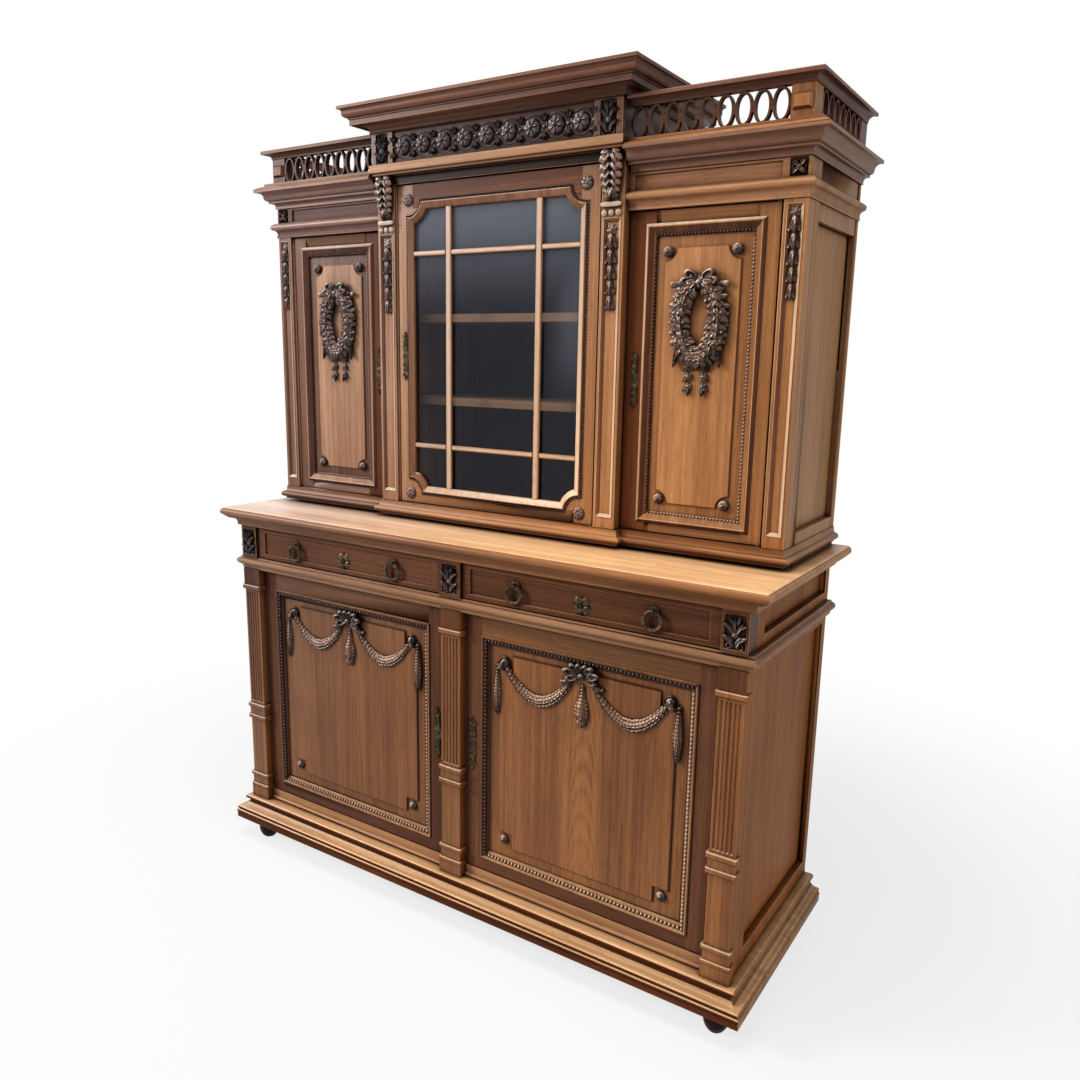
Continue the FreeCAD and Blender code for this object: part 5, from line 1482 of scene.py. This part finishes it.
def drawer_plate():
    """A four-lobed keyhole plate, with the knobs that hold the rings."""
    half = DRAWER_PLATE / 2
    rest = kept_part("drawer_fittings_right", lambda c: abs(c.x - DRAWER_X * MM) < half * 1.3 * MM
                     and c.y < (DRAWER_FACE + 1) * MM)
    relief = Relief(DRAWER_FACE)
    relief.laid.append((rest, Matrix.Identity(4)))
    relief.fan(PETAL, DRAWER_X, DRAWER_Z, 4, 1, half * 0.95, half, 4, 0, 0, 45)
    relief.fan(LEAF, DRAWER_X, DRAWER_Z, 4, 3, half * 0.5, half * 0.9, 4, 1, 3)
    relief.lay(RING, DRAWER_X, DRAWER_Z - 7, 14, 14, 5, 0, 4)
    relief.lay(PEARL, DRAWER_X, DRAWER_Z, 8, 8, 4, 0, 3)
    piece = relief.carve("plate", BRASS)
    discard(rest)
    return piece


pair(drawer_plate(), "drawer_plate", "drawer", "patinated_brass", "drawer_fittings")


def ring_leaves(x):
    """Small leaves round the front of a ring pull, from its ball down to its lowest place."""
    relief = Relief(RING_Y)
    for way in (-1, 1):
        for k in range(9):
            a = math.radians(28 + 152 * k / 8)
            spot = (x + way * RING_R * math.sin(a), DRAWER_Z + RING_R * math.cos(a))
            relief.lay(PETAL, *spot, 9, 10, 3.4, way * (math.degrees(a) + 90), 1.6, 3)
    return relief


for place, out in (("inner", -RING_OUT), ("outer", RING_OUT)):
    for side, way in SIDES:
        leaves = ring_leaves(way * (DRAWER_X + out))
        finish_piece(leaves.carve(f"ring_leaves_{place}_{side}", BRASS), f"pull_ring_{place}_{side}", "patinated_brass")

discard(LEAF, PETAL, BROAD_LEAF, RIBBON, PEARL, DOME, LOOP, RING, ROSE, SWIRL, HUSK, BAR)


# Studio

FLOOR_SIZE = 40
SHADOW_FROM, SHADOW_TO = 1.1, 2.6
NEAR_GLOW = 0.76
FLOOR_GREY = (0.64, 0.64, 0.64, 1)
AMBIENT = 0.2
# Each lamp's name, place, aim, size and watts
LAMPS = (("left_box", (-5.2, -4.1, 3.9), (0, 0, 1.3), 1.7, 500),
         ("top_box", (0.2, -0.9, 4.3), (0, -0.1, 1), 2, 130),
         ("right_box", (4.2, -1.4, 2.6), (0.5, 0, 1.5), 1.6, 45))


def white_floor():
    """A plain white floor that keeps the shadow."""
    clear()
    bpy.ops.mesh.primitive_plane_add(size=FLOOR_SIZE)
    floor = bpy.context.object
    floor.name = "studio_floor"
    f = new_finish("studio_floor")
    glow = f.node("ShaderNodeEmission", None, {"Color": (1, 1, 1, 1), "Strength": 1})
    matt = f.node("ShaderNodeBsdfDiffuse", None, {"Color": FLOOR_GREY})
    away = f.node("ShaderNodeVectorMath", {"operation": "LENGTH"}, {0: f.place()}, "Value")
    share = NEAR_GLOW + away.clipped(SHADOW_FROM, SHADOW_TO) * (1 - NEAR_GLOW)
    mixed = f.node("ShaderNodeMixShader", None, {0: f.seen() * share, 1: matt, 2: glow})
    f.tree.links.new(mixed.socket, f.tree.nodes["Material Output"].inputs["Surface"])
    floor.data.materials.append(f.owner)


def white_world(ambient):
    """White where it is seen or mirrored, plain ambient light elsewhere."""
    world = bpy.context.scene.world = bpy.data.worlds.new("studio")
    f = Finish(world, "Background")
    level = f.node("ShaderNodeMapRange", None, {"Value": f.seen(), "To Min": ambient})
    f.paint(Color=(1, 1, 1, 1), Strength=level)


def softbox(name, at, aim, size, watts):
    """A large soft lamp."""
    data = bpy.data.lights.new(name, "AREA")
    data.size = size
    data.energy = watts
    lamp = bpy.data.objects.new(name, data)
    bpy.context.scene.collection.objects.link(lamp)
    lamp.location = at
    lamp.rotation_mode = "QUATERNION"
    lamp.rotation_quaternion = (Vector(aim) - Vector(at)).to_track_quat("-Z", "Y")


white_floor()
white_world(AMBIENT)
for lamp in LAMPS:
    softbox(*lamp)

bpy.context.scene.view_settings.view_transform = "Standard"
